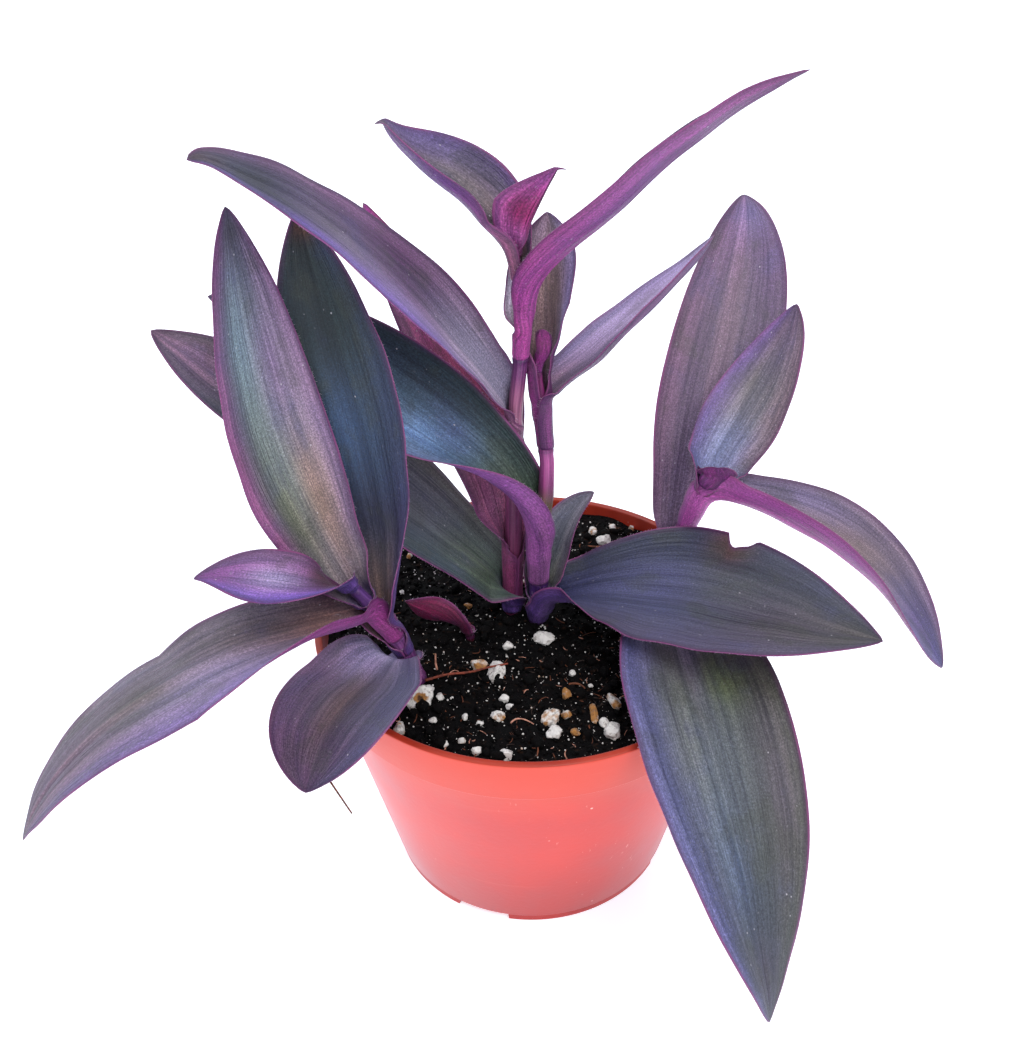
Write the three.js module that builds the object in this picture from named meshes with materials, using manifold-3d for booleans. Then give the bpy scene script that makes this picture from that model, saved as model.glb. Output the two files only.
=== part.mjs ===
// Potted purple-leaved spiderwort: a small plastic nursery pot, its soil, four leafy stems and a sprout.
// Millimetres, +Z up. The origin is the centre of the pot's underside, on the surface it stands on.
// Bearings run round Z in degrees: 0 = +X (right), 90 = +Y (back), 180 = left, 270 = front.
import * as THREE from 'three';
import { mergeVertices } from 'three/addons/utils/BufferGeometryUtils.js';
import Module from 'manifold-3d';

const wasm = await Module();
wasm.setup();

// Pot
const RIM_RADIUS = 51;
const RIM_HEIGHT = 68.6;
const RIM_WIDTH = 1.8;
const BAND_HEIGHT = 57;
const BAND_STEP = 1.1;
const FOOT_RADIUS = 35.6;
const FOOT_HEIGHT = 2;
const FOOT_WIDTH = 1.8;
const FOOT_INSET = 0.45;
const WALL = 1.3;
const UNDERSIDE_HEIGHT = 1.7;
const FLOOR_TOP = 3.2;
const PAD_RADIUS = 12;
const WALL_LEAN = 0.22;
const POT_SIDES = 48;
const NOTCH = { count: 4, bearing: 249, width: 13.2, height: 1.8 };
const DRAIN = { count: 8, ring: 23, radius: 2.6, sides: 10 };

// Soil
const GAP = 0.3;
const SOIL_HEIGHT = 64.2;
const SOIL_RISE = 1.6;
const STEM_DEPTH = 12;
const GRAIN_SEED = 41;
const SMALL_GRAINS = 26;
// The larger pale grains on the surface: x, y, half width, height above the soil
const LARGE_GRAINS = [
  [-24, -26.5, 3.2, 2.6],
  [-9, -17.5, 2.4, 1.3],
  [3.5, -9.5, 1.9, 1.2],
  [9, -41, 2.2, 1.5],
  [4.5, -36, 1.9, 1.2],
  [17.5, -28, 1.7, 1.2],
  [17, -36.5, 2.1, 1.6],
  [-28.5, -35, 1.8, 1.2],
  [19, 27, 1.9, 1.3],
  [-12, 27, 1.6, 1],
];

// Leaves
const BLADE_THICKNESS = 0.7;
const SHEATH_WRAP = 345;
const TIP_WIDTH = 0.8;
const MARGIN_CURVE = { widest: 0.42, fullness: 2.2, point: 0.85 };
const COURSE_STEPS = 60;
const SECTION_STEPS = 6;
const END_CROWDING = 0.6;

// Stems: foot on the soil, a point half way and the top, with the radius at the foot and at the top
const STEMS = {
  tall: { foot: [-4, 6, 64], middle: [-3, 8.5, 112.3], top: [-2.4, 3, 160.3], radius: [2.1, 0.95] },
  middle: { foot: [4, 5, 64], middle: [4.4, 2.5, 98], top: [4.2, 10, 130], radius: [2.1, 0.85] },
  left: { foot: [-26, -18, 64], middle: [-31, -18.5, 79], top: [-39, -20, 93], radius: [2, 1.2] },
  right: { foot: [28, 13, 64], middle: [36.5, 10, 82], top: [43, 6, 101], radius: [2, 0.95] },
  sprout: {
    foot: [-14.2, -3.5, 64.5],
    middle: [-14.3, -3.4, 66],
    top: [-14.6, -3.3, 68],
    radius: [0.9, 0.8],
  },
};
const STEM_SIDES = 8;
const STEM_STEP = 5;
const NODE_SWELL = 0.3;
const NODE_HALF = 1.2;

// Each leaf, from the lowest on its stem to the highest. at = where its sheath starts up the stem,
// sheath = the sheath's height. The blade's course is given at its base, middle and tip:
// way = bearing, rise = slope, roll = twist about its length, wrap = how far round its section curls.
// mouth = how far round the stem the blade starts, above the sheath's slanting rim, loose = extra room
// round the stem, bend and open = the share of the blade in which it leaves the stem and in which it
// uncurls, fold = 0 for an even trough, up to 1 for a crease along the midrib.
const LEAVES = [
  {
    name: 'leaf_tall_1', stem: 'tall', at: 2.3, sheath: 3.4, length: 103, width: 31, bend: 0.08,
    open: 0.08, way: [183, 171, 158], rise: [50, 38, 25], roll: [-21, -10, -20],
    wrap: [25, 33, 20],
  },
  {
    name: 'leaf_tall_2', stem: 'tall', at: 12, sheath: 7, length: 85, width: 28,
    way: [117, 146, 154], rise: [87, 59, 61], roll: [-14, -8, -5], wrap: [60, 44, 20],
  },
  {
    name: 'leaf_tall_3', stem: 'tall', at: 51.4, sheath: 3, length: 92, width: 24, bend: 0.06,
    open: 0.1, way: [191, 208, 219], rise: [61, 49, 27], roll: [-37, -30, -19],
    wrap: [107, 20, 15],
  },
  {
    name: 'leaf_tall_4', stem: 'tall', at: 68.5, sheath: 6, length: 76, width: 24, bend: 0.05,
    open: 0.06, fold: 0.5, way: [-24, -10, 2], rise: [56, 45, 30], roll: [-29, -10, -34],
    wrap: [128, 105, 80],
  },
  {
    name: 'leaf_tall_5', stem: 'tall', at: 86, sheath: 1.9, length: 41, width: 23, bend: 0.15,
    fold: 0.6, loose: 1.15, way: [121, 191, 180], rise: [86, 40, 69], roll: [-8, -18, 3],
    wrap: [143, 120, 50],
  },
  {
    name: 'leaf_tall_6', stem: 'tall', at: 88.5, sheath: 2.6, length: 20, width: 16, fold: 0.3,
    mouth: 170, way: [22, 32, 19], rise: [85, 62, 50], roll: [5, -10, -43], wrap: [200, 128, 60],
  },
  {
    name: 'leaf_middle_1', stem: 'middle', at: 2, sheath: 3, length: 81, width: 36, bend: 0.05,
    open: 0.06, way: [-10, -39, -29], rise: [23, 13, 8], roll: [10, 16, 0], wrap: [70, 46, 15],
  },
  {
    name: 'leaf_middle_2', stem: 'middle', at: 7.6, sheath: 2.6, length: 24, width: 12,
    way: [70, 45, 20], rise: [65, 53, 23], roll: [10, -9, 0], wrap: [88, 59, 30],
  },
  {
    name: 'leaf_middle_3', stem: 'middle', at: 13.6, sheath: 20, length: 86, width: 26,
    bend: 0.06, fold: 0.3, way: [196, 164, 187], rise: [44, 33, 25], roll: [2, -38, -18],
    wrap: [180, 57, 30],
  },
  {
    name: 'leaf_middle_4', stem: 'middle', at: 47.6, sheath: 6.5, length: 52, width: 25,
    bend: 0.05, open: 0.07, fold: 0.5, way: [37, 12, 8], rise: [48, 42, 58],
    roll: [-11, -15, -20], wrap: [95, 66, 50],
  },
  {
    name: 'leaf_middle_5', stem: 'middle', at: 59, sheath: 4.5, length: 35, width: 20, bend: 0.1,
    open: 0.2, loose: 1.15, way: [88, 84, 94], rise: [58, 79, 78], roll: [2, -36, 17],
    wrap: [180, 81, 40],
  },
  {
    name: 'leaf_middle_6', stem: 'middle', at: 64.4, sheath: 1.8, length: 8, width: 5,
    way: [256, 256, 259], rise: [84, 80, 79], roll: [0, 0, 0], wrap: [190, 120, 60],
  },
  {
    name: 'leaf_left_1', stem: 'left', at: 1.2, sheath: 2.1, length: 42, width: 34, bend: 0.06,
    open: 0.1, widest: 0.38, way: [233, 241, 261], rise: [28, -1, -31], roll: [11, 13, -1],
    wrap: [153, 44, 30],
  },
  {
    name: 'leaf_left_2', stem: 'left', at: 8.6, sheath: 1.8, length: 96, width: 29, bend: 0.08,
    loose: 1.5, way: [103, 130, 137], rise: [85, 74, 81], roll: [-51, -60, -40],
    wrap: [154, 49, 20],
  },
  {
    name: 'leaf_left_3', stem: 'left', at: 13.5, sheath: 6.5, length: 90, width: 32, bend: 0.05,
    open: 0.08, way: [215, 211, 211], rise: [12, -10, -64], roll: [9, 10, 6], wrap: [137, -8, 10],
  },
  {
    name: 'leaf_left_4', stem: 'left', at: 24.4, sheath: 2.5, length: 88, width: 25, bend: 0.08,
    open: 0.1, loose: 0.6, mouth: 170, way: [130, 165, 125], rise: [46, 81, 88],
    roll: [-31, -33, 14], wrap: [67, 71, 20],
  },
  {
    name: 'leaf_left_5', stem: 'left', at: 30, sheath: 1.7, length: 35, width: 14, bend: 0.1,
    way: [260, 174, 193], rise: [44, 8, -8], roll: [31, -19, 3], wrap: [120, 43, 20],
  },
  {
    name: 'leaf_right_1', stem: 'right', at: 3.1, sheath: 3, length: 114, width: 34, bend: 0.04,
    open: 0.06, way: [274, 278, 284], rise: [6, -16, -72], roll: [-16, 0, -41],
    wrap: [38, 35, 20],
  },
  {
    name: 'leaf_right_2', stem: 'right', at: 9.5, sheath: 4.5, length: 102, width: 27, bend: 0.08,
    open: 0.1, way: [65, 68, 88], rise: [59, 45, 6], roll: [10, 6, 3], wrap: [60, 34, 15],
  },
  {
    name: 'leaf_right_3', stem: 'right', at: 19, sheath: 9.3, length: 76, width: 30, bend: 0.06,
    open: 0.08, fold: 0.5, way: [-10, -12, -26], rise: [4, -36, -49], roll: [-25, 2, 11],
    wrap: [152, 121, 50],
  },
  {
    name: 'leaf_right_4', stem: 'right', at: 36, sheath: 1.9, length: 46, width: 20, bend: 0.1,
    loose: 1.15, way: [72, 45, 53], rise: [35, 42, 69], roll: [26, -1, -13], wrap: [20, 31, 30],
  },
  {
    name: 'leaf_right_5', stem: 'right', at: 38.6, sheath: 1.6, length: 7, width: 6, mouth: 170,
    way: [35, 16, 6], rise: [58, 22, -4], roll: [0, 0, 0], wrap: [160, 120, 80],
  },
  {
    name: 'leaf_sprout', stem: 'sprout', at: 0.5, sheath: 1.5, length: 16, width: 11, fold: 0.4,
    way: [192, 179, 173], rise: [37, 30, 34], roll: [2, 72, 55], wrap: [121, 81, 60],
  },
];
const LEAF_DEFAULTS = {
  bend: 0.14,
  open: 0.12,
  fold: 0,
  loose: 0.2,
  mouth: 190,
  widest: MARGIN_CURVE.widest,
};
const RIM_SLANT = 1.5;
// Bands along the blade and strips across it, by the blade's length
const LEAF_GRIDS = [
  { over: 60, bands: 12, strips: 8 },
  { over: 25, bands: 9, strips: 8 },
  { over: 0, bands: 6, strips: 6 },
];

// Loose scraps
const TWIG = { from: [-24.1, -19.8], to: [-5.2, -16.5], lift: [0.5, 2.1], radius: 0.45 };

const leafFinish = { roughness: 0.55, metalness: 0 };
const MATERIALS = {
  pot: new THREE.MeshStandardMaterial({ color: 0xf2705c, roughness: 0.45, metalness: 0 }),
  soil: new THREE.MeshStandardMaterial({ color: 0x1d1a1a, roughness: 1, metalness: 0 }),
  stem: new THREE.MeshStandardMaterial({ color: 0x6b2a55, roughness: 0.5, metalness: 0 }),
  leaf: new THREE.MeshStandardMaterial({ color: 0x5a4a6b, ...leafFinish }),
  young_leaf: new THREE.MeshStandardMaterial({ color: 0x8a3a6e, ...leafFinish }),
  twig: new THREE.MeshStandardMaterial({ color: 0x8c4a2c, roughness: 0.9, metalness: 0 }),
};

// General helpers

const radians = THREE.MathUtils.degToRad;

function seededRandom(seed) {
  let state = seed;
  return () => {
    state = (state * 1664525 + 1013904223) % 4294967296;
    return state / 4294967296;
  };
}

// The value at share t of a quantity given at its start, middle and end
function along([start, middle, end], t) {
  return start * (2 * t - 1) * (t - 1) + middle * 4 * t * (1 - t) + end * t * (2 * t - 1);
}

function ease(value) {
  const share = THREE.MathUtils.clamp(value, 0, 1);
  return share * share * (3 - 2 * share);
}

function geometryFrom(points, triangles) {
  const geometry = new THREE.BufferGeometry();
  const flat = points.flatMap((point) => [point.x, point.y, point.z]);
  geometry.setAttribute('position', new THREE.Float32BufferAttribute(flat, 3));
  geometry.setIndex(triangles.flat());
  return geometry;
}

// Turns every face over if the surface encloses a negative volume
function faceOutwards(points, triangles) {
  const volume = triangles.reduce((sum, [a, b, c]) => {
    const normal = new THREE.Vector3().crossVectors(points[b], points[c]);
    return sum + points[a].dot(normal);
  }, 0);
  return volume < 0 ? triangles.map(([a, b, c]) => [a, c, b]) : triangles;
}

function toSolid(geometry) {
  const bare = geometry.clone();
  bare.deleteAttribute('normal');
  bare.deleteAttribute('uv');
  const merged = mergeVertices(bare, 1e-5);
  return new wasm.Manifold(new wasm.Mesh({
    numProp: 3,
    vertProperties: new Float32Array(merged.attributes.position.array),
    triVerts: new Uint32Array(merged.index.array),
  }));
}

function toGeometry(solid) {
  const mesh = solid.getMesh();
  const geometry = new THREE.BufferGeometry();
  geometry.setAttribute('position', new THREE.BufferAttribute(mesh.vertProperties, 3));
  geometry.setIndex(new THREE.BufferAttribute(mesh.triVerts, 1));
  return geometry;
}

function uprightCylinder(x, y, low, high, radius, sides) {
  const geometry = new THREE.CylinderGeometry(radius, radius, high - low, sides);
  geometry.rotateX(Math.PI / 2);
  geometry.translate(x, y, (low + high) / 2);
  return toSolid(geometry);
}

function upright(profile) {
  const geometry = new THREE.LatheGeometry(profile.map(([r, z]) => new THREE.Vector2(r, z)), POT_SIDES);
  geometry.rotateX(Math.PI / 2);
  return geometry;
}

// Pot

function innerRadius(height) {
  const lean = height < BAND_HEIGHT ? WALL_LEAN : (RIM_RADIUS - RIM_WIDTH - bandInner()) / bandSpan();
  return bandInner() + (height - BAND_HEIGHT) * lean;
}

function bandInner() {
  return FOOT_RADIUS + FOOT_INSET + (BAND_HEIGHT - FOOT_HEIGHT) * WALL_LEAN - WALL;
}

function bandSpan() {
  return RIM_HEIGHT - BAND_HEIGHT;
}

function potProfile() {
  const wallFoot = FOOT_RADIUS + FOOT_INSET;
  const wallTop = bandInner() + WALL;
  const inside = RIM_RADIUS - RIM_WIDTH;
  return [
    [0, 0],
    [PAD_RADIUS, 0],
    [PAD_RADIUS + 0.6, UNDERSIDE_HEIGHT],
    [FOOT_RADIUS - FOOT_WIDTH - 0.3, UNDERSIDE_HEIGHT],
    [FOOT_RADIUS - FOOT_WIDTH, 0],
    [FOOT_RADIUS, 0],
    [FOOT_RADIUS, FOOT_HEIGHT],
    [wallFoot, FOOT_HEIGHT + 0.3],
    [wallTop, BAND_HEIGHT - 0.4],
    [wallTop + BAND_STEP, BAND_HEIGHT + 0.4],
    [RIM_RADIUS - 0.1, RIM_HEIGHT - 1],
    [RIM_RADIUS, RIM_HEIGHT - 0.5],
    [RIM_RADIUS - 0.5, RIM_HEIGHT],
    [inside + 0.5, RIM_HEIGHT],
    [inside, RIM_HEIGHT - 0.5],
    [innerRadius(BAND_HEIGHT), BAND_HEIGHT],
    [innerRadius(FLOOR_TOP + 1), FLOOR_TOP + 1],
    [innerRadius(FLOOR_TOP) - 0.8, FLOOR_TOP],
    [0, FLOOR_TOP],
  ];
}

function footNotch(index) {
  const depth = 6;
  const box = new THREE.BoxGeometry(depth, NOTCH.width, NOTCH.height * 2);
  box.translate(FOOT_RADIUS, 0, 0);
  box.rotateZ(radians(NOTCH.bearing + (index * 360) / NOTCH.count));
  return toSolid(box);
}

function drainHole(index) {
  const angle = ((index + 0.5) / DRAIN.count) * 2 * Math.PI;
  const x = DRAIN.ring * Math.cos(angle);
  const y = DRAIN.ring * Math.sin(angle);
  return uprightCylinder(x, y, UNDERSIDE_HEIGHT - 1, FLOOR_TOP + 1, DRAIN.radius, DRAIN.sides);
}

function makePot() {
  let pot = toSolid(upright(potProfile()));
  for (let index = 0; index < NOTCH.count; index += 1) {
    pot = pot.subtract(footNotch(index));
  }
  for (let index = 0; index < DRAIN.count; index += 1) {
    pot = pot.subtract(drainHole(index));
  }
  return toGeometry(pot);
}

// Soil: a filling that follows the pot's wall, with a gently uneven top that is highest at the back

function soilHeight(x, y) {
  const tilt = SOIL_RISE * ease((y + 20) / 70);
  const waves = 0.35 * Math.sin(x * 0.17 + 1) * Math.cos(y * 0.21) + 0.25 * Math.sin(x * 0.31 - y * 0.27);
  return SOIL_HEIGHT + tilt + waves;
}

function soilRing(radius, height) {
  return Array.from({ length: POT_SIDES }, (_, index) => {
    const angle = (index / POT_SIDES) * 2 * Math.PI;
    const x = radius * Math.sin(angle);
    const y = -radius * Math.cos(angle);
    return new THREE.Vector3(x, y, height === undefined ? soilHeight(x, y) : height);
  });
}

function soilBody() {
  const clear = GAP + 0.1;
  const edge = innerRadius(SOIL_HEIGHT) - clear;
  const rings = [
    soilRing(innerRadius(FLOOR_TOP) - 0.8 - clear, FLOOR_TOP + GAP),
    soilRing(innerRadius(FLOOR_TOP + 1) - clear, FLOOR_TOP + 1 + GAP),
    soilRing(innerRadius(BAND_HEIGHT) - clear, BAND_HEIGHT),
    soilRing(edge),
    ...[44, 39, 33, 26, 18, 9].map((radius) => soilRing(radius)),
  ];
  const points = rings.flat();
  const low = points.push(new THREE.Vector3(0, 0, FLOOR_TOP + GAP)) - 1;
  const high = points.push(new THREE.Vector3(0, 0, soilHeight(0, 0))) - 1;
  const last = (rings.length - 1) * POT_SIDES;
  const triangles = [];
  for (let side = 0; side < POT_SIDES; side += 1) {
    const next = (side + 1) % POT_SIDES;
    triangles.push([low, next, side], [high, last + side, last + next]);
    for (let ring = 0; ring < last; ring += POT_SIDES) {
      const above = ring + POT_SIDES;
      triangles.push([ring + side, ring + next, above + next], [ring + side, above + next, above + side]);
    }
  }
  return toSolid(geometryFrom(points, faceOutwards(points, triangles)));
}

function soilGrain(x, y, size, lift, turn) {
  const grain = new THREE.IcosahedronGeometry(1, 0);
  grain.rotateX(turn);
  grain.rotateZ(turn * 2);
  grain.scale(size, size * 0.8, lift);
  grain.translate(x, y, soilHeight(x, y));
  return toSolid(grain);
}

function stemHole(stem) {
  const curve = stemCurve(stem);
  const radius = (stem.radius[0] + NODE_SWELL + GAP) / Math.cos(Math.PI / STEM_SIDES);
  const rings = [-STEM_DEPTH - GAP, 0, 5].map((distance) => ({ ...stemPlace(curve, distance), radius }));
  return toSolid(roundRod(rings, STEM_SIDES));
}

function clearOfStems(x, y, room) {
  return Object.values(STEMS).every(({ foot }) => Math.hypot(x - foot[0], y - foot[1]) > room);
}

function makeSoil() {
  const random = seededRandom(GRAIN_SEED);
  let soil = soilBody();
  for (const [index, [x, y, size, lift]] of LARGE_GRAINS.entries()) {
    soil = soil.add(soilGrain(x, y, size, lift, index));
  }
  for (let placed = 0; placed < SMALL_GRAINS;) {
    const bearing = random() * 2 * Math.PI;
    const reach = 46 * Math.sqrt(random());
    const x = reach * Math.cos(bearing);
    const y = reach * Math.sin(bearing);
    const size = 0.8 + 0.6 * random();
    if (clearOfStems(x, y, 6) && reach < 44) {
      soil = soil.add(soilGrain(x, y, size, size * 0.7, placed));
      placed += 1;
    }
  }
  for (const stem of Object.values(STEMS)) {
    soil = soil.subtract(stemHole(stem));
  }
  return toGeometry(soil);
}

// Stems

function stemCurve({ foot, middle, top }) {
  const [start, half, end] = [foot, middle, top].map((point) => new THREE.Vector3(...point));
  const pull = half.multiplyScalar(2).addScaledVector(start, -0.5).addScaledVector(end, -0.5);
  return new THREE.QuadraticBezierCurve3(start, pull, end);
}

// The stem's centre and direction at a distance up from the soil, straight on past its ends
function stemPlace(curve, distance) {
  const length = curve.getLength();
  const held = THREE.MathUtils.clamp(distance, 0, length);
  const forward = curve.getTangentAt(held / length);
  const centre = curve.getPointAt(held / length).addScaledVector(forward, distance - held);
  return { centre, forward };
}

function stemRadius(stem, distance) {
  const share = THREE.MathUtils.clamp(distance / stemCurve(stem).getLength(), 0, 1);
  return THREE.MathUtils.lerp(stem.radius[0], stem.radius[1], share);
}

// The joints of the stem that have room to swell: those with a bare stretch below the leaf
function swellings(stemName) {
  const own = LEAVES.filter((leaf) => leaf.stem === stemName);
  return own
    .filter((leaf, index) => {
      const below = own[index - 1];
      return below !== undefined && leaf.at - below.at - below.sheath > 2.5 * NODE_HALF;
    })
    .map((leaf) => leaf.at - NODE_HALF - GAP);
}

function makeStem(stemName) {
  const stem = STEMS[stemName];
  const curve = stemCurve(stem);
  const length = curve.getLength();
  const stations = [{ distance: 0, swell: 0 }, { distance: length, swell: 0 }];
  for (let distance = STEM_STEP; distance < length - 2; distance += STEM_STEP) {
    stations.push({ distance, swell: 0 });
  }
  const kept = stations.filter(({ distance }) => (
    swellings(stemName).every((joint) => Math.abs(distance - joint) > 1.5 * NODE_HALF)
  ));
  for (const joint of swellings(stemName)) {
    for (const [offset, swell] of [[-1, 0], [-0.4, 1], [0.4, 1], [1, 0]]) {
      kept.push({ distance: joint + offset * NODE_HALF, swell });
    }
  }
  kept.sort((a, b) => a.distance - b.distance);
  const rings = [{ ...stemPlace(curve, -STEM_DEPTH), radius: stem.radius[0] * 0.9 }];
  for (const { distance, swell } of kept) {
    const radius = stemRadius(stem, distance) + swell * NODE_SWELL;
    rings.push({ ...stemPlace(curve, distance), radius });
  }
  return roundRod(rings, STEM_SIDES);
}

// A rod through rings of given centre, direction and radius, closed at both ends
function roundRod(rings, sides) {
  const points = [];
  const triangles = [];
  for (const { centre, forward, radius } of rings) {
    const right = new THREE.Vector3(0, 1, 0).cross(forward).normalize();
    const up = forward.clone().cross(right);
    for (let side = 0; side < sides; side += 1) {
      const angle = (side / sides) * 2 * Math.PI;
      const point = centre.clone().addScaledVector(right, radius * Math.cos(angle));
      points.push(point.addScaledVector(up, radius * Math.sin(angle)));
    }
  }
  const last = (rings.length - 1) * sides;
  for (let side = 0; side < sides; side += 1) {
    const next = (side + 1) % sides;
    for (let ring = 0; ring < last; ring += sides) {
      const beyond = ring + sides;
      triangles.push([ring + side, ring + next, beyond + next]);
      triangles.push([ring + side, beyond + next, beyond + side]);
    }
    if (side > 0 && next > 0) {
      triangles.push([0, next, side], [last, last + side, last + next]);
    }
  }
  return geometryFrom(points, faceOutwards(points, triangles));
}

// Leaves

function bladeWidth(leaf, baseWidth, share) {
  if (share < leaf.widest) {
    return baseWidth + (leaf.width - baseWidth) * Math.sin(((Math.PI / 2) * share) / leaf.widest);
  }
  const past = (share - leaf.widest) / (1 - leaf.widest);
  const narrowing = (1 - past ** MARGIN_CURVE.fullness) ** MARGIN_CURVE.point;
  return TIP_WIDTH + (leaf.width - TIP_WIDTH) * narrowing;
}

// Direction of the blade and of its upper face at share t of its length
function bladeFrame(leaf, t) {
  const bearing = radians(along(leaf.way, t));
  const slope = radians(along(leaf.rise, t));
  const roll = radians(along(leaf.roll, t));
  const level = new THREE.Vector3(Math.cos(bearing), Math.sin(bearing), 0);
  const forward = level.clone().multiplyScalar(Math.cos(slope)).setZ(Math.sin(slope));
  const upward = level.multiplyScalar(-Math.sin(slope)).setZ(Math.cos(slope));
  const side = forward.clone().cross(upward);
  const face = upward.multiplyScalar(Math.cos(roll)).addScaledVector(side, Math.sin(roll));
  return { forward, face };
}

// How far round the section curls at share t, from the sheath's mouth to the open blade
function sectionWrap(leaf, t) {
  const [base, middle, tip] = leaf.wrap;
  const flat = 0.15;
  const inner = base + (middle - base) * THREE.MathUtils.clamp((t - flat) / (0.5 - flat), 0, 1);
  const blade = t < 0.5 ? inner : middle + (tip - middle) * (2 * t - 1);
  return leaf.mouth + (blade - leaf.mouth) * ease(t / leaf.open);
}

// The outline of one section, from margin to margin, as offsets across the blade and towards its face
function sectionPoints(width, wrap, fold, strips) {
  const steps = strips * SECTION_STEPS;
  const spread = 2 * (1 - fold) + 0.07 * fold;
  const points = [{ across: 0, inward: 0 }];
  for (let step = 0; step < steps; step += 1) {
    const place = (step + 0.5) / steps - 0.5;
    const angle = (radians(wrap) / 2) * (Math.tanh(place / spread) / Math.tanh(0.5 / spread));
    const { across, inward } = points[step];
    points.push({
      across: across + (Math.cos(angle) * width) / steps,
      inward: inward + (Math.sin(angle) * width) / steps,
    });
  }
  const rib = points[steps / 2];
  return points
    .filter((_, index) => index % SECTION_STEPS === 0)
    .map(({ across, inward }) => ({ across: across - rib.across, inward: inward - rib.inward }));
}

function placeSection({ rib, forward, face }, outline) {
  const side = forward.clone().cross(face);
  return outline.map(({ across, inward }) => (
    rib.clone().addScaledVector(side, across).addScaledVector(face, inward)
  ));
}

// Rows of points over the leaf's middle surface: four round the sheath, the rest along the blade
function leafRows(leaf, bands, strips) {
  const stem = STEMS[leaf.stem];
  const curve = stemCurve(stem);
  const clear = (stemRadius(stem, leaf.at) + GAP) / Math.cos(Math.PI / strips);
  const radius = clear + BLADE_THICKNESS / 2 + leaf.loose;
  const baseWidth = radius * radians(leaf.mouth);
  const start = bladeFrame({ ...leaf, rise: [0, 0, 0] }, 0).forward;
  const rows = [];
  let sheathEnd;
  const rim = leaf.sheath - Math.min(RIM_SLANT, leaf.sheath / 3);
  const sheath = [
    [0, SHEATH_WRAP],
    [rim, SHEATH_WRAP],
    [(rim + leaf.sheath) / 2, (SHEATH_WRAP + leaf.mouth) / 2],
    [leaf.sheath, leaf.mouth],
  ];
  for (const [height, wrap] of sheath) {
    const { centre, forward } = stemPlace(curve, leaf.at + height);
    const outward = start.clone().addScaledVector(forward, -start.dot(forward)).normalize();
    sheathEnd = { rib: centre.addScaledVector(outward, radius), forward, face: outward.negate() };
    rows.push(placeSection(sheathEnd, sectionPoints(radius * radians(wrap), wrap, 0, strips)));
  }
  const wanted = bladeShares(bands);
  const rib = sheathEnd.rib.clone();
  for (let step = 1; step <= COURSE_STEPS; step += 1) {
    const t = step / COURSE_STEPS;
    const between = t - 0.5 / COURSE_STEPS;
    const turned = ease(between / leaf.bend);
    const forward = sheathEnd.forward.clone().lerp(bladeFrame(leaf, between).forward, turned);
    rib.addScaledVector(forward.normalize(), leaf.length / COURSE_STEPS);
    if (wanted.includes(step)) {
      const aim = bladeFrame(leaf, t);
      const ahead = sheathEnd.forward.clone().lerp(aim.forward, ease(t / leaf.bend)).normalize();
      const face = sheathEnd.face.clone().lerp(aim.face, ease(t / leaf.bend));
      face.addScaledVector(ahead, -face.dot(ahead)).normalize();
      const width = bladeWidth(leaf, baseWidth, t);
      const outline = sectionPoints(width, sectionWrap(leaf, t), leaf.fold * ease(t / leaf.open), strips);
      rows.push(placeSection({ rib, forward: ahead, face }, outline));
    }
  }
  return { rows, tip: rib };
}

// The course steps at which the blade gets a row, closer together at both of its ends
function bladeShares(bands) {
  return Array.from({ length: bands - 1 }, (_, index) => {
    const share = (index + 1) / bands;
    const crowded = share - (END_CROWDING * Math.sin(2 * Math.PI * share)) / (2 * Math.PI);
    return Math.round(crowded * COURSE_STEPS);
  });
}

// Unit normals of the middle surface, towards the upper face
function rowNormals(rows) {
  return rows.map((row, index) => row.map((_, place) => {
    const ahead = rows[Math.min(index + 1, rows.length - 1)][place];
    const behind = rows[Math.max(index - 1, 0)][place];
    const right = row[Math.min(place + 1, row.length - 1)];
    const left = row[Math.max(place - 1, 0)];
    const along = ahead.clone().sub(behind);
    return along.cross(right.clone().sub(left)).normalize().negate();
  }));
}

// A blade of even thickness, its rows closed off at the sheath's foot and drawn to a point at the tip
function makeLeaf(entry) {
  const leaf = { ...LEAF_DEFAULTS, ...entry };
  const { bands, strips } = LEAF_GRIDS.find(({ over }) => leaf.length > over);
  const { rows, tip } = leafRows(leaf, bands, strips);
  const normals = rowNormals(rows);
  const half = BLADE_THICKNESS / 2;
  const tipNormal = normals[normals.length - 1][strips / 2];
  const points = [];
  for (const side of [half, -half]) {
    rows.forEach((row, index) => row.forEach((point, place) => {
      points.push(point.clone().addScaledVector(normals[index][place], side));
    }));
    points.push(tip.clone().addScaledVector(tipNormal, side));
  }
  const layer = points.length / 2;
  const width = strips + 1;
  const end = rows.length - 1;
  const triangles = [];
  const bothFaces = (a, b, c) => triangles.push([a, b, c], [a + layer, c + layer, b + layer]);
  const edge = (a, b) => triangles.push([a, a + layer, b], [b, a + layer, b + layer]);
  for (let row = 0; row < end; row += 1) {
    for (let strip = 0; strip < strips; strip += 1) {
      const corner = row * width + strip;
      bothFaces(corner, corner + width, corner + 1);
      bothFaces(corner + 1, corner + width, corner + width + 1);
    }
    edge(row * width, (row + 1) * width);
    edge((row + 1) * width + strips, row * width + strips);
  }
  for (let strip = 0; strip < strips; strip += 1) {
    bothFaces(end * width + strip, layer - 1, end * width + strip + 1);
    edge(strip + 1, strip);
  }
  edge(end * width, layer - 1);
  edge(layer - 1, end * width + strips);
  return geometryFrom(points, faceOutwards(points, triangles));
}

// Loose scraps

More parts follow.
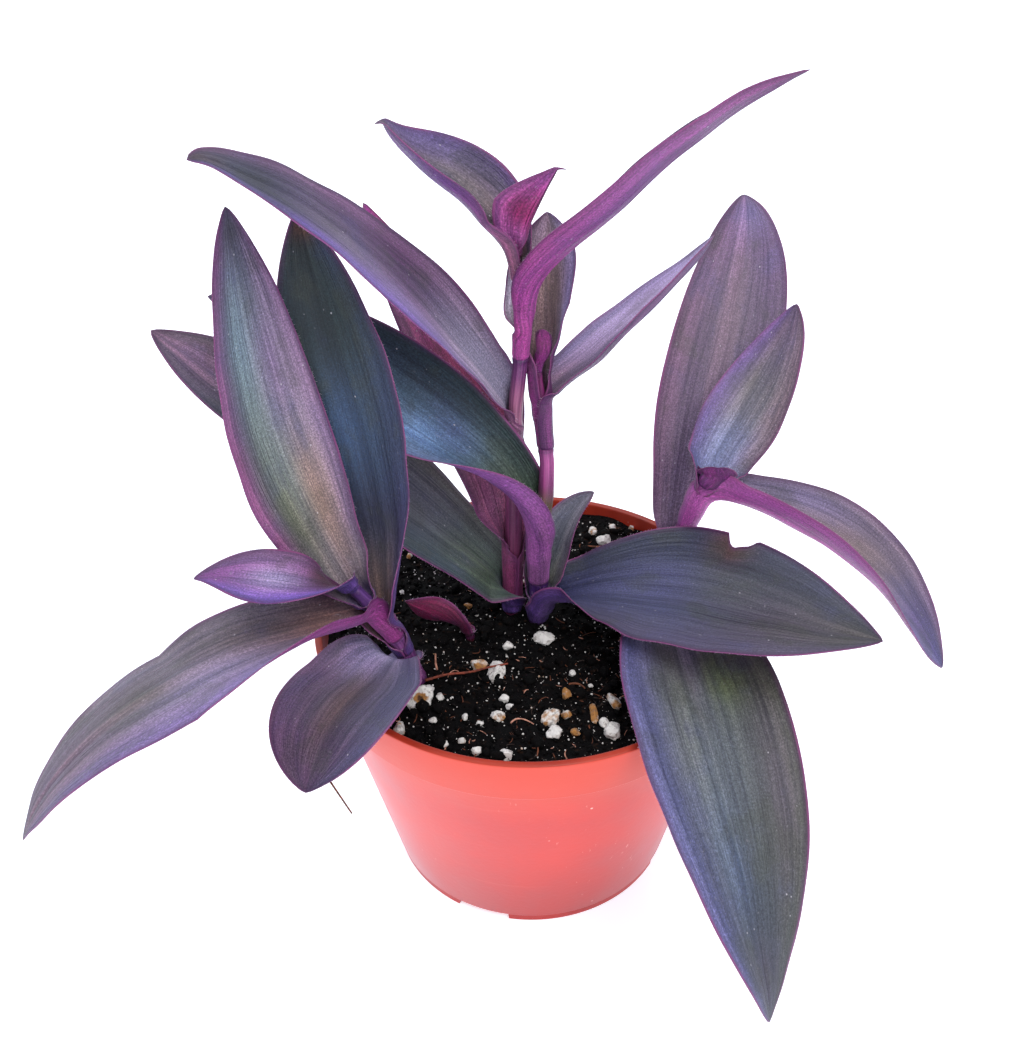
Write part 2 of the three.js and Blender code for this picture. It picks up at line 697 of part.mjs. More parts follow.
function makeTwig() {
  const ends = [TWIG.from, TWIG.to].map(([x, y], index) => (
    new THREE.Vector3(x, y, soilHeight(x, y) + TWIG.radius + TWIG.lift[index])
  ));
  const forward = ends[1].clone().sub(ends[0]).normalize();
  const rings = ends.map((centre, index) => {
    const radius = TWIG.radius * (1 - 0.3 * index);
    return { centre, forward, radius };
  });
  return roundRod(rings, 6);
}

// The object

const plant = new THREE.Group();

function addPiece(name, geometry, material) {
  const piece = new THREE.Mesh(geometry, MATERIALS[material]);
  piece.name = name;
  plant.add(piece);
}

addPiece('pot', makePot(), 'pot');
addPiece('soil', makeSoil(), 'soil');
addPiece('twig', makeTwig(), 'twig');
for (const stemName of Object.keys(STEMS)) {
  addPiece(`stem_${stemName}`, makeStem(stemName), 'stem');
}
for (const leaf of LEAVES) {
  addPiece(leaf.name, makeLeaf(leaf), leaf.length < 60 ? 'young_leaf' : 'leaf');
}

export default plant;
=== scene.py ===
"""Potted purple tradescantia: finely modelled leaves, stems, soil and pot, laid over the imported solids.

Shapes are worked out in millimetres, with +Z up and the origin under the middle of the pot, and
stored in metres. Bearings run round Z in degrees: 0 = right, 90 = back, 180 = left, 270 = front.
"""

import math

import bmesh
import bpy
import numpy as np
from mathutils import Matrix, Vector, noise


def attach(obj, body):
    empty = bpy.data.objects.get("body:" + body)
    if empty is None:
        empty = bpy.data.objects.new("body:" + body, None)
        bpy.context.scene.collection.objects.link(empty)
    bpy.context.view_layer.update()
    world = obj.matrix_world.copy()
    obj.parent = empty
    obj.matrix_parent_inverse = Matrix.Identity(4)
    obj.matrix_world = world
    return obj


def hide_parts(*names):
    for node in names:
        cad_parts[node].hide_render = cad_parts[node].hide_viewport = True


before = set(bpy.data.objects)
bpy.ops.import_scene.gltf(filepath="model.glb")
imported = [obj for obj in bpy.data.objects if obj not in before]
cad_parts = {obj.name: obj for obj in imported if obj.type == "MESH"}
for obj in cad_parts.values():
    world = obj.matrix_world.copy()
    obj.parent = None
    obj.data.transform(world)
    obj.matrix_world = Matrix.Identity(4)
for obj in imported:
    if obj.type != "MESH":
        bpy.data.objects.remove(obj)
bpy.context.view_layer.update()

# Camera
CAMERA_PLACE = (-3.7, -225.1, 246.6)
CAMERA_ELEVATION = 34.3
CAMERA_ROLL = -1.12
CAMERA_LENS = 40.99
# Half the side of the white ground
STAGE_HALF = 3000

# Pot
RIM_RADIUS = 51
RIM_HEIGHT = 68.6
RIM_WIDTH = 1.8
BAND_HEIGHT = 57
BAND_STEP = 1.1
FOOT_RADIUS = 35.6
FOOT_HEIGHT = 2
FOOT_WIDTH = 1.8
FOOT_INSET = 0.45
WALL = 1.3
WALL_LEAN = 0.22
BAND_INNER = FOOT_RADIUS + FOOT_INSET + (BAND_HEIGHT - FOOT_HEIGHT) * WALL_LEAN - WALL
UNDERSIDE_HEIGHT = 1.7
FLOOR_TOP = 3.2
PAD_RADIUS = 12
NOTCH = {"count": 4, "bearing": 249, "width": 13.2, "height": 1.8}
# Half the turn that a notch takes up, in radians
NOTCH_TURN = NOTCH["width"] / 2 / FOOT_RADIUS
DRAIN = {"count": 8, "ring": 23, "radius": 2.6}
POT_SIDES = 200
# Corners of more degrees than this look sharp
SHARP_CORNER = 35

# Soil
SOIL_HEIGHT = 64.2
SOIL_RISE = 1.6
SOIL_EDGE = 48.9
SOIL_RINGS = 110
SOIL_SIDES = 230
STEM_DEPTH = 12
# Loose bits strewn over the soil: how many, how finely rounded, least size with how much more and how rarely,
# widest stretch, unevenness, how far they stand off the soil as a length and as a share of their size, and
# how far from the soil's edge they stay
FINE_CRUMBS = dict(count=3600, level=1, size=(0.22, 0.4, 2), widest=1.3, uneven=0, lift=(0, 0.3), edge=1)
COARSE_CRUMBS = dict(count=700, level=2, size=(0.5, 1.1, 2.5), widest=1.2, uneven=0.35, lift=(0, 0.25),
                     edge=2)
SPECKS = dict(count=1900, level=1, size=(0.07, 0.24, 3), widest=1.3, uneven=0, lift=(0.35, 0.4), edge=1,
              stain=(-0.2, 0.6))
FIBRES = {"count": 560, "edge": 3, "steps": 6, "sides": 5}
# Flat faces broken off a grain, and how stained each kind is
CHIPS = 9
STAINS = {"white": 0, "both": 0.52, "ochre": 0.75, "shell": 0.3}
# Pale grains on the soil: x, y, half width, half length, half height, kind
GRAINS = [
    (-25.3, -25.4, 3.6, 3.9, 3.0, "shell"),
    (-11.9, -15, 1.8, 1.7, 1.3, "ochre"),
    (-7.8, -17.4, 2.1, 3, 1.6, "white"),
    (3.4, -6, 2.4, 1.8, 1.4, "white"),
    (-5.2, -8.1, 1.2, 1.2, 0.9, "white"),
    (-14.9, 7.2, 1, 0.8, 0.7, "ochre"),
    (20.4, 33.4, 1.8, 1.6, 1.4, "white"),
    (17.6, 36.7, 1.1, 1.2, 1.0, "both"),
    (22.9, 38.4, 1, 1.1, 0.9, "both"),
    (28, 38.2, 0.9, 0.9, 0.8, "both"),
    (7.8, -24.9, 1.1, 1.7, 1.1, "ochre"),
    (-6.2, -25.7, 1.2, 1.2, 0.9, "white"),
    (-4.9, -28.4, 1, 0.9, 0.8, "white"),
    (-7.6, -31.6, 1.6, 1.3, 1.1, "both"),
    (-11.5, -33.1, 0.8, 0.7, 0.6, "white"),
    (-21.8, -32.4, 0.9, 0.7, 0.7, "white"),
    (-14.8, -30.9, 0.7, 0.9, 0.6, "white"),
    (4.2, -32.9, 2.3, 1.9, 1.7, "both"),
    (7.4, -31.5, 1.1, 1.2, 0.9, "ochre"),
    (4.7, -37.2, 1.7, 1.8, 1.4, "white"),
    (13.4, -31.4, 1, 2.6, 1.1, "ochre"),
    (18.3, -27.9, 1.3, 2.6, 1.3, "both"),
    (15.6, -34.4, 1.1, 1.3, 1.0, "white"),
    (17.3, -37.1, 1.9, 2.1, 1.6, "white"),
    (9.1, -37, 1.1, 0.9, 0.8, "ochre"),
    (-29, -35.5, 1.5, 2, 1.4, "both"),
    (-15.3, -38.8, 0.9, 0.7, 0.7, "ochre"),
    (-12, -42.4, 1.2, 1.1, 1.0, "white"),
    (-5.9, -43.2, 1.6, 1.3, 1.1, "white"),
    (-20.5, -24.8, 0.9, 1, 0.7, "white"),
    (-18.9, -39.6, 0.7, 0.6, 0.5, "white"),
    (9.3, -17.9, 0.8, 1, 0.6, "white"),
    (13.4, -21.8, 0.6, 0.6, 0.4, "white"),
    (-0.7, 19.5, 0.6, 1.2, 0.6, "white"),
    (-0.8, 16.1, 0.6, 0.9, 0.6, "ochre"),
    (-30.4, 27, 0.8, 0.9, 0.7, "ochre"),
    (-31.6, 13.8, 0.6, 0.7, 0.5, "white"),
    (-12.8, 4, 0.6, 0.6, 0.5, "white"),
]
# Thin scraps on the soil: three points with the height above it, thickness and colour
SCRAPS = [
    ([(-4.8, -34.3, 0.5), (-2.8, -33.7, 1.2), (0.2, -34.6, 0.5)], 0.22, "pale_fibre"),
    ([(-21.6, -15.5, 0.1), (-21.8, -15.2, 2.2), (-21.7, -15, 4.4)], 0.3, "pale_fibre"),
    ([(8.4, -22, 0.5), (10.5, -22.2, 0.9), (12, -23.1, 0.4)], 0.3, "bark"),
    ([(0.7, -40.5, 0.4), (0.9, -42, 1), (0.6, -43.8, 0.6)], 0.22, "bark"),
    ([(-19, -18.5, 0.3), (-18, -17.2, 1), (-16.5, -16.8, 0.4)], 0.14, "pale_fibre"),
    ([(22, 31, 0.4), (18.5, 29.5, 1.2), (16, 30.5, 0.5)], 0.3, "bark"),
]
# A dry fibre that hangs from under the lowest left leaf, as points and thickness
HANGING_FIBRE = ([(-44, -48.8, 67.6), (-40.6, -52.6, 64.6), (-37.8, -54, 59.4)], 0.24)
# The twig's ends, how far it lies off the soil there, the solid's radius and the visible one
TWIG = {"from": (-24.1, -19.8), "to": (-5.2, -16.5), "lift": (0.5, 2.1), "radius": 0.45, "seen": 0.32}
SCRAP_TONES = {"pale_fibre": "#c58f7c", "bark": "#6b3a22", "dark": "#2c1c16", "twig": "#7e3826"}

# Stems: foot on the soil, a point half way and the top; radius = the solid's radius at the foot and the top;
# lean = how far the visible stem stands to the right and back, girth = its radius and tones = its colours,
# each at distances up the stem
STEMS = {
    "tall": dict(
        foot=(-4, 6, 64), middle=(-3, 8.5, 112.3), top=(-2.4, 3, 160.3), radius=(2.1, 0.95),
        lean=[(0, 0, 0), (47, 0.2, 0), (57, 0.6, 0), (66, 1.4, 0), (76, 1.8, 0), (86, 1.7, 0),
              (92, 0.5, 0), (99, 0.4, 0)],
        girth=[(0, 2.1), (40, 1.9), (50, 1.7), (67, 1.6), (80, 1.15), (88, 0.9), (93, 0.6), (96, 0.15)],
        tones=[(0, "#4e1c38"), (12, "#6a2c4a"), (25, "#82426a"), (40, "#8e4c78"), (48, "#be8cac"),
               (54, "#a86c88"), (60, "#945478"), (64, "#73386a"), (68, "#602a60"), (90, "#9a4480")],
    ),
    "middle": dict(
        foot=(4, 5, 64), middle=(4.4, 2.5, 98), top=(4.2, 10, 130), radius=(2.1, 0.85),
        lean=[(0, -1.9, -2.5), (26, -1.9, -1), (36, -0.3, 0), (44, 0, 0), (55, -0.9, 0), (66, -1.5, 0)],
        girth=[(0, 2.3), (13, 2.2), (34, 1.85), (52, 1.5), (60, 1.1), (66, 0.3)],
        tones=[(0, "#3f1f58"), (13, "#432668"), (28, "#5a4058"), (34, "#6d6040"), (39, "#9a4a80"),
               (44, "#ac5290"), (52, "#74306a"), (66, "#8a3070")],
    ),
    "left": dict(
        foot=(-26, -18, 64), middle=(-31, -18.5, 79), top=(-39, -20, 93), radius=(2, 1.2),
        girth=[(0, 2.1), (20, 1.9), (29, 1.4), (33, 0.6)],
        tones=[(0, "#6a3468"), (14, "#84508a"), (30, "#6a4890")],
    ),
    "right": dict(
        foot=(28, 13, 64), middle=(36.5, 10, 82), top=(43, 6, 101), radius=(2, 0.95),
        lean=[(0, 0, 0), (18, 0, 0), (28, -1.1, 0), (34, -1.6, 0), (41, -1.6, 0)],
        girth=[(0, 2.1), (20, 1.9), (34, 1.5), (39, 0.8), (41, 0.3)],
        tones=[(0, "#6a2c60"), (18, "#9c4084"), (40, "#8a3270")],
    ),
    "sprout": dict(
        foot=(-14.2, -3.5, 64.5), middle=(-14.3, -3.4, 66), top=(-14.6, -3.3, 68), radius=(0.9, 0.8),
        girth=[(0, 0.95), (2.5, 0.85), (3.5, 0.7)],
        tones=[(0, "#401018"), (3.5, "#6a1c3c")],
    ),
}
# Sides of a visible stem and of a solid one
STEM_SIDES = 24
SOLID_STEM_SIDES = 8

# Colours seen on the plant
COLOURS = {
    "navy": "#262a38",
    "slate": "#3c4150",
    "steel": "#4d5a76",
    "sky": "#6683a6",
    "teal": "#2c404a",
    "deep": "#1f2d2c",
    "moss": "#384a40",
    "green": "#4e5b3c",
    "olive": "#4c4c42",
    "taupe": "#6c6064",
    "tan": "#9a7c6c",
    "brown": "#54403c",
    "umber": "#604a4e",
    "grey": "#64626c",
    "mauve": "#715470",
    "dusk": "#573f5c",
    "plum": "#4a2549",
    "violet": "#5b3f80",
    "iris": "#65509a",
    "lilac": "#8d7fa6",
    "pearl": "#a79cbc",
    "magenta": "#8c2f74",
    "wine": "#5e1b38",
    "ruby": "#84204c",
    "rust": "#6a4030",
}

# Torn left margin of the lowest leaf of the middle stem: share of its length and depth of the tear
TEAR = [(0.478, 0), (0.486, 0.13), (0.505, 0.2), (0.52, 0.16), (0.545, 0.11), (0.562, 0)]
# Leaves of each stem, from the lowest up. As in the solids: at = distance up the stem; sheath, length and
# width; bend and open = shares of the length in which the blade turns off the stem and its fold sets in;
# fold = how sharp the fold is; loose = play round the stem; mouth = degrees round the stem that the base
# covers; widest = share of the length where the blade is widest, and taper = its form from there to the tip;
# way, rise and roll = bearing, slope and roll at base, middle and tip; wrap = degrees that the section turns
# through there.
# In the visible leaf alone: low = how far the sheath reaches below `at`, and tube = its height above;
# closed = share of it that goes right round the stem; lips = width of each side at the sheath's mouth;
# swell = how far the mouth stands off the stem, and room = how far past the solid's; sweep = how far each
# side is drawn back at the mouth, and reach = share of the length in which that fades; flare = share in
# which the mouth's width fades; turns = degrees that each side is turned in at the mouth, and opens = share
# in which it opens; curve = bend of the visible rib, and join = share at which it meets the solid's;
# spread = how late each side widens; halves = how much of its width each side has; hook = how far the tip is
# drawn aside; torn = tear in the left margin; light = brightness; upper = the upper face at base, middle and
# tip; sides = its left and right side, seen from the base; under = the lower face at base and tip; spots and
# under_spots = across, along, size across, size along, colour and strength of soft patches.
LEAVES = {
    "tall": [
        dict(at=2.3, sheath=3.4, length=103, width=31, bend=0.08, open=0.08, way=(183, 171, 158),
             rise=(50, 38, 25), roll=(-21, -10, -20), wrap=(25, 33, 20),
             low=1.5, lips=(8, 6.5), sweep=(3, 1),
             upper=("moss", "slate", "umber"), sides=("teal", "olive"),
             spots=[(-0.3, 0.12, 0.5, 0.1, "green", 0.6), (0.2, 0.3, 0.5, 0.12, "grey", 0.4),
                    (0, 0.9, 0.8, 0.15, "#80647e", 0.75), (0.5, 0.8, 0.4, 0.1, "brown", 0.3)]),
        dict(at=12, sheath=7, length=85, width=28, way=(117, 146, 154), rise=(87, 59, 61),
             roll=(-14, -8, -5), wrap=(60, 44, 20),
             low=8, tube=7, closed=0.8, swell=0.3, halves=(1, 0.6),
             light=1.95, upper=("#8a5068", "#7e3450", "magenta"), sides=("#7d4a66", "wine"),
             under=("#73304f", "dusk"),
             spots=[(0, 0.1, 0.8, 0.15, "#86506c", 0.7)]),
        dict(at=51.4, sheath=3, length=92, width=22.5, bend=0.06, open=0.1, taper=(2.6, 0.72),
             way=(191, 208, 219), rise=(61, 49, 27), roll=(-37, -30, -19), wrap=(107, 20, 15),
             low=4, tube=2, closed=0.4, lips=(3, 6), swell=0.35, sweep=(0, -6), reach=0.3,
             hook=(-0.3, 0, -1.2),
             light=1.05, upper=("#9a8fa0", "dusk", "slate"), sides=("iris", "mauve"),
             under=("#94607c", "violet"),
             spots=[(0.1, 0.16, 0.7, 0.16, "#968e9c", 0.85), (-0.2, 0.62, 0.45, 0.12, "grey", 0.55),
                    (0.55, 0.45, 0.35, 0.1, "plum", 0.6), (0, 0.84, 0.8, 0.08, "navy", 0.6),
                    (0.1, 0.97, 0.9, 0.05, "brown", 0.6), (-0.55, 0.35, 0.3, 0.2, "lilac", 0.5)]),
        dict(at=68.5, sheath=6, length=76, width=19.5, bend=0.05, open=0.22, fold=0.5,
             way=(-24, -10, 2), rise=(56, 48, 24), roll=(-29, -10, -34), wrap=(128, 105, 80),
             tube=7, closed=0.6, lips=(4, 4), swell=0.4, flare=0.3, curve=0.34, join=0.5,
             spread=(1.6, 1.6), hook=(1.2, 0, 0.6),
             upper=("plum", "dusk", "dusk"), sides=("plum", "plum"), under=("#a43c7c", "#7c4270"),
             under_spots=[(0, 0.1, 1, 0.16, "#9c3a86", 0.7), (0.5, 0.5, 0.5, 0.3, "#7d4680", 0.6)]),
        dict(at=86, sheath=1.9, length=41, width=23, bend=0.15, fold=0.6, loose=1.15,
             way=(121, 191, 180), rise=(86, 40, 69), roll=(-8, -18, 3), wrap=(143, 120, 50),
             lips=(5.2, 5.2), swell=0.6, flare=0.3, turns=(160, 160), opens=(0.3, 0.3),
             spread=(1.5, 1.5), hook=(-1.2, 0, -1.6),
             upper=("umber", "taupe", "mauve"), sides=("dusk", "violet"), under=("#8a5068", "#80508c"),
             spots=[(0, 0.5, 0.5, 0.2, "#716c66", 0.6), (0.7, 0.75, 0.3, 0.3, "lilac", 0.5)]),
        dict(at=88.5, sheath=2.6, length=20, width=17, fold=0.5, mouth=170, widest=0.4,
             taper=(1.1, 1.0), way=(22, 32, 19), rise=(85, 62, 50), roll=(35, 45, 30),
             wrap=(120, 70, 50),
             low=-3.5, tube=5, lips=(2.4, 2.4), swell=0.4, reach=0.8, turns=(95, 95), opens=(0.2, 0.2),
             join=0.9, halves=(0.95, 0.12), hook=(1.6, 0, -0.7),
             # Painted shade: the dark ruby middle of the upper face and its darkest spot stand for the shadow
             # in the fold.
             light=1.2, upper=("#a8609c", "#8a2c64", "#9c4c92"), sides=("#9c5490", "#7c2450"),
             under=("#93306e", "#963a7c"),
             spots=[(-0.3, 0.42, 0.4, 0.14, "#701a48", 0.75)]),
    ],
    "middle": [
        dict(at=2, sheath=3, length=81, width=36, bend=0.05, open=0.06, way=(-10, -39, -29),
             rise=(23, 13, 8), roll=(10, 16, 0), wrap=(70, 46, 15),
             low=0.5, tube=4, closed=0.1, lips=(6.5, 7.5), swell=2.2, room=0.8, sweep=(1, -3),
             reach=0.12, flare=0.25, turns=(95, 135), opens=(0.12, 0.2), spread=(1.2, 1.2),
             light=0.84, upper=("#2c2e50", "#40455a", "#504f4c"), sides=("slate", "#4f4a60"),
             spots=[(-0.1, 0.35, 0.5, 0.14, "#4a4c78", 0.5), (-0.3, 0.55, 0.4, 0.12, "#464c44", 0.7),
                    (0.2, 0.75, 0.6, 0.2, "#474048", 0.7), (-0.85, 0.49, 0.25, 0.06, "rust", 0.6),
                    (0, 0.2, 0.3, 0.12, "#484c70", 0.6)],
             torn=TEAR),
        dict(at=7.6, sheath=2.6, length=24, width=12, way=(70, 45, 20), rise=(65, 53, 23),
             roll=(10, -9, 0), wrap=(88, 59, 30),
             upper=("olive", "#62646a", "grey"), sides=("grey", "taupe"), under=("violet", "dusk"),
             spots=[(0, 0.2, 0.6, 0.2, "#4a524c", 0.5)]),
        dict(at=13.6, sheath=20, length=86, width=26, bend=0.06, open=0.2, fold=0.3,
             way=(196, 164, 187), rise=(44, 33, 25), roll=(2, -38, -18), wrap=(180, 57, 30),
             tube=9, closed=0.6, lips=(8, 5.5), swell=0.6, opens=(0.35, 0.25), curve=0.3,
             light=1.42, upper=("green", "teal", "slate"), sides=("steel", "deep"),
             under=("#703c6e", "#543a76"),
             # The sky spot on the lower half is a painted highlight.
             spots=[(-0.35, 0.4, 0.35, 0.1, "sky", 0.85), (0.1, 0.3, 0.35, 0.09, "#35486a", 0.7),
                    (0, 0.16, 0.5, 0.08, "#39453a", 0.8), (0.5, 0.5, 0.5, 0.3, "navy", 0.5),
                    (-0.2, 0.62, 0.5, 0.12, "#3b566e", 0.6)]),
        dict(at=47.6, sheath=6.5, length=52, width=22.5, bend=0.05, open=0.07, fold=0.5,
             way=(37, 12, 8), rise=(48, 42, 58), roll=(-11, -15, -20), wrap=(95, 66, 50),
             tube=10, closed=0.5, lips=(6.5, 5.5), swell=0.7, sweep=(0, 1), spread=(1.3, 1.3),
             upper=("#735666", "mauve", "lilac"), sides=("lilac", "mauve"), under=("#66305f", "mauve"),
             spots=[(-0.4, 0.5, 0.4, 0.3, "pearl", 0.6), (0, 0.5, 0.06, 0.5, "#4a3c56", 0.8)]),
        dict(at=59, sheath=4.5, length=35, width=20, bend=0.1, open=0.2, loose=1.15, way=(88, 84, 94),
             rise=(58, 79, 78), roll=(2, -36, 17), wrap=(180, 81, 40),
             low=9, tube=5, closed=0.5, lips=(7.5, 5), swell=1.6, turns=(170, 120), opens=(0.5, 0.25),
             light=1.25, upper=("umber", "#806c68", "#7c6876"), sides=("umber", "lilac"),
             under=("#641f56", "mauve"),
             spots=[(0.2, 0.55, 0.3, 0.3, "tan", 0.35), (-0.9, 0.55, 0.14, 0.22, "#d9cdd6", 0.9)]),
        dict(at=64.4, sheath=1.8, length=9, width=6, way=(256, 256, 259), rise=(84, 80, 79),
             roll=(0, 0, 0), wrap=(200, 200, 120),
             lips=(2.3, 2.3), swell=0.2, turns=(120, 120), opens=(0.6, 0.6),
             upper=("plum", "magenta", "magenta"), sides=("plum", "plum"), under=("#7c2c6c", "#84306c")),
    ],
    "left": [
        dict(at=1.2, sheath=2.1, length=42, width=34, bend=0.06, open=0.1, widest=0.38,
             way=(233, 241, 261), rise=(28, -1, -31), roll=(11, 13, -1), wrap=(70, 44, 30),
             low=-4.5, tube=7, closed=0.2, lips=(5, 8), sweep=(0, 3), reach=0.5, flare=0.35,
             turns=(35, 30),
             # Painted highlight: the lilac-grey base of the upper face, with the lilac and pearl spots near
             # the base.
             upper=("#77708a", "#5a5060", "dusk"), sides=("#56546e", "mauve"),
             spots=[(-0.5, 0.35, 0.35, 0.25, "#565a74", 0.6), (0.1, 0.5, 0.25, 0.3, "#54423a", 0.7),
                    (0.4, 0.15, 0.4, 0.1, "lilac", 0.5), (0, 0.06, 0.5, 0.04, "pearl", 0.5)]),
        dict(at=8.6, sheath=1.8, length=96, width=28, bend=0.08, loose=1.5, way=(103, 130, 137),
             rise=(85, 74, 81), roll=(-51, -60, -40), wrap=(154, 49, 20),
             tube=5, lips=(5.5, 5), swell=0.4,
             light=0.7, upper=("tan", "#34465c", "deep"), sides=("#2f4048", "#3c4660"),
             spots=[(-0.2, 0.52, 0.35, 0.12, "#46648a", 0.7), (0.2, 0.75, 0.7, 0.12, "deep", 0.8),
                    (0, 0.32, 0.7, 0.1, "#33324c", 0.7), (0.8, 0.1, 0.3, 0.2, "violet", 0.8),
                    (0, 0.97, 0.9, 0.03, "rust", 0.9), (-0.6, 0.65, 0.3, 0.12, "moss", 0.6)]),
        dict(at=13.5, sheath=6.5, length=90, width=30, bend=0.05, open=0.08, taper=(2.0, 0.98),
             way=(215, 211, 211), rise=(12, -10, -64), roll=(9, 10, 6), wrap=(137, -8, 10),
             lips=(7.5, 7), swell=0.8,
             light=0.85, upper=("#7c5a54", "#6e6270", "#6e5c66"), sides=("#67568a", "#6c6068"),
             under=("#8c3a78", "plum"),
             spots=[(0.35, 0.3, 0.35, 0.12, "#56493a", 0.6), (-0.25, 0.45, 0.35, 0.15, "lilac", 0.45),
                    (0.2, 0.6, 0.4, 0.12, "#5c5448", 0.6), (-0.2, 0.88, 0.8, 0.14, "#6e5866", 0.7),
                    (0.3, 0.14, 0.4, 0.07, "#8a6656", 0.6)]),
        dict(at=24.4, sheath=2.5, length=88, width=24, bend=0.08, open=0.1, loose=0.6, mouth=170,
             way=(130, 165, 125), rise=(46, 81, 88), roll=(-31, -33, 14), wrap=(67, 71, 20),
             lips=(6, 6),
             light=1.35, upper=("taupe", "#56605c", "#4b4a58"), sides=("#74466c", "mauve"),
             # The tan spot right of the rib is a painted highlight.
             spots=[(-0.25, 0.7, 0.4, 0.16, "#5a6e74", 0.7), (0.4, 0.26, 0.24, 0.17, "#98796a", 0.85),
                    (-0.35, 0.25, 0.3, 0.16, "#55583e", 0.7), (0.35, 0.6, 0.3, 0.16, "#74587c", 0.6),
                    (-0.9, 0.35, 0.2, 0.3, "#80486e", 0.6), (0, 0.95, 0.6, 0.06, "#3e3540", 0.6)]),
        dict(at=30, sheath=1.7, length=35, width=14, bend=0.1, way=(260, 174, 193), rise=(44, 8, -8),
             roll=(31, -19, 3), wrap=(120, 43, 20),
             upper=("#5c3446", "#7a5080", "#6e4076"), sides=("iris", "mauve"), under=("violet", "iris"),
             # The pearl spot in the middle is a painted highlight.
             spots=[(0, 0.5, 0.4, 0.16, "pearl", 0.7), (0.3, 0.16, 0.6, 0.14, "#552e34", 0.75),
                    (-0.7, 0.3, 0.3, 0.3, "#6a50a4", 0.8)]),
    ],
    "right": [
        dict(at=3.1, sheath=3, length=114, width=34, bend=0.04, open=0.06, way=(274, 278, 284),
             rise=(6, -16, -72), roll=(-16, 0, -41), wrap=(38, 35, 20),
             light=1.15, upper=("#6c5c7a", "#474b44", "#3d4248"), sides=("#4a4c40", "#52527c"),
             spots=[(0.02, 0.24, 0.14, 0.14, "#94849c", 0.8), (-0.35, 0.36, 0.3, 0.07, "#586438", 0.8),
                    (0, 0.55, 0.45, 0.16, "#5a6066", 0.6), (0.2, 0.72, 0.3, 0.12, "#46587a", 0.4),
                    (-0.7, 0.6, 0.3, 0.2, "#4e4250", 0.6), (0, 0.93, 0.6, 0.08, "#4c4250", 0.6)]),
        dict(at=9.5, sheath=4.5, length=102, width=27, bend=0.08, open=0.1, way=(65, 68, 88),
             rise=(59, 45, 6), roll=(10, 6, 3), wrap=(60, 34, 15),
             lips=(5.4, 3), spread=(1, 3.5),
             light=0.95, upper=("#7d6a7c", "#705c70", "#75597a"), sides=("#5c4258", "#6c5270"),
             under=("magenta", "plum"),
             spots=[(0.1, 0.2, 0.4, 0.14, "#8c7c90", 0.7), (0, 0.6, 0.4, 0.2, "#6a5a60", 0.6),
                    (0.2, 0.9, 0.6, 0.08, "lilac", 0.5)]),
        dict(at=19, sheath=9.3, length=76, width=27, bend=0.06, fold=0.5, way=(-10, -12, -26),
             rise=(12, -36, -55), roll=(-25, 2, 11), wrap=(152, 121, 50),
             tube=13, lips=(7.5, 8.5), swell=0.7, curve=0.09,
             light=1.15, upper=("#665c70", "#6c5f64", "#4e4a72"), sides=("#6a5a68", "violet"),
             under=("#a24a8e", "#84407c"),
             spots=[(-0.4, 0.45, 0.4, 0.2, "#74625c", 0.6), (-0.7, 0.3, 0.3, 0.2, "lilac", 0.5),
                    (0, 0.85, 0.8, 0.1, "#4a3c60", 0.6)]),
        dict(at=36, sheath=1.9, length=46, width=20, bend=0.1, loose=1.15, way=(72, 45, 53),
             rise=(35, 42, 69), roll=(26, -1, -13), wrap=(20, 31, 30),
             lips=(6, 6),
             light=1.05, upper=("#6b7094", "#6a6468", "#6e5a6c"), sides=("#80609a", "#7c666c"),
             under=("magenta", "plum"),
             spots=[(-0.1, 0.2, 0.5, 0.16, "#76809f", 0.6)]),
        dict(at=38.6, sheath=1.6, length=5.5, width=11, mouth=170, widest=0.15, taper=(2.0, 0.5),
             way=(262, 262, 262), rise=(78, 82, 84), roll=(0, 0, 0), wrap=(90, 80, 60),
             low=1, lips=(5, 5), swell=2.0, room=0.5, turns=(110, 110), opens=(0.25, 0.25),
             upper=("plum", "#5c1e54", "magenta"), sides=("plum", "plum"), under=("#62205a", "#6d2a62")),
    ],
    "sprout": [
        dict(at=0.5, sheath=1.5, length=16, width=11, fold=0.4, way=(192, 179, 173), rise=(37, 30, 34),
             roll=(2, 72, 55), wrap=(121, 81, 60),
             upper=("#6a1c3c", "#7a2044", "magenta"), sides=("ruby", "#58202c"), under=("wine", "ruby"),
             spots=[(0, 0.5, 0.07, 0.6, "#d9829c", 0.9)]),
    ],
}
LEAF_DEFAULTS = dict(
    bend=0.14, open=0.12, fold=0, loose=0.2, mouth=190, widest=0.42, taper=(2.2, 0.85), low=0, closed=0.35,
    swell=1.2, room=0, sweep=(0, 0), reach=0.35, flare=0.2, join=0.35, spread=(1, 1), halves=(1, 1),
    hook=(0, 0, 0), torn=[], light=1, under=("violet", "plum"), spots=[], under_spots=[],
)
# The solids' sheaths: gap to the stem and half their thickness; the visible ones: gap to the stem
SHEATH_GAP = 0.3
SHEATH_HALF = 0.35
SHEATH_HUG = 0.26
# Degrees that a side of a closed sheath is turned in, and the most at its mouth
CLOSED_TURN = 177
MOUTH_TURN = 175
LEAF_COLUMNS = 28
COURSE_STEPS = 120
ROW_SPACING = 1.0
# Shares of the length from which the rows are closest, and from which the tip is drawn aside
FINE_START = 0.94
HOOK_START = 0.955
TIP_WIDTH = 0.4
BLADE_HALF = 0.24
MARGIN_HALF = 0.09
LEAF_LIGHT = 1.2
YOUNG_LENGTH = 60


# Small helpers


def colour(name):
    """A named or hexadecimal colour as linear red, green and blue."""
    text = COLOURS.get(name, name).lstrip("#")
    values = [int(text[i : i + 2], 16) / 255 for i in (0, 2, 4)]
    return np.array([v / 12.92 if v < 0.04045 else ((v + 0.055) / 1.055) ** 2.4 for v in values])


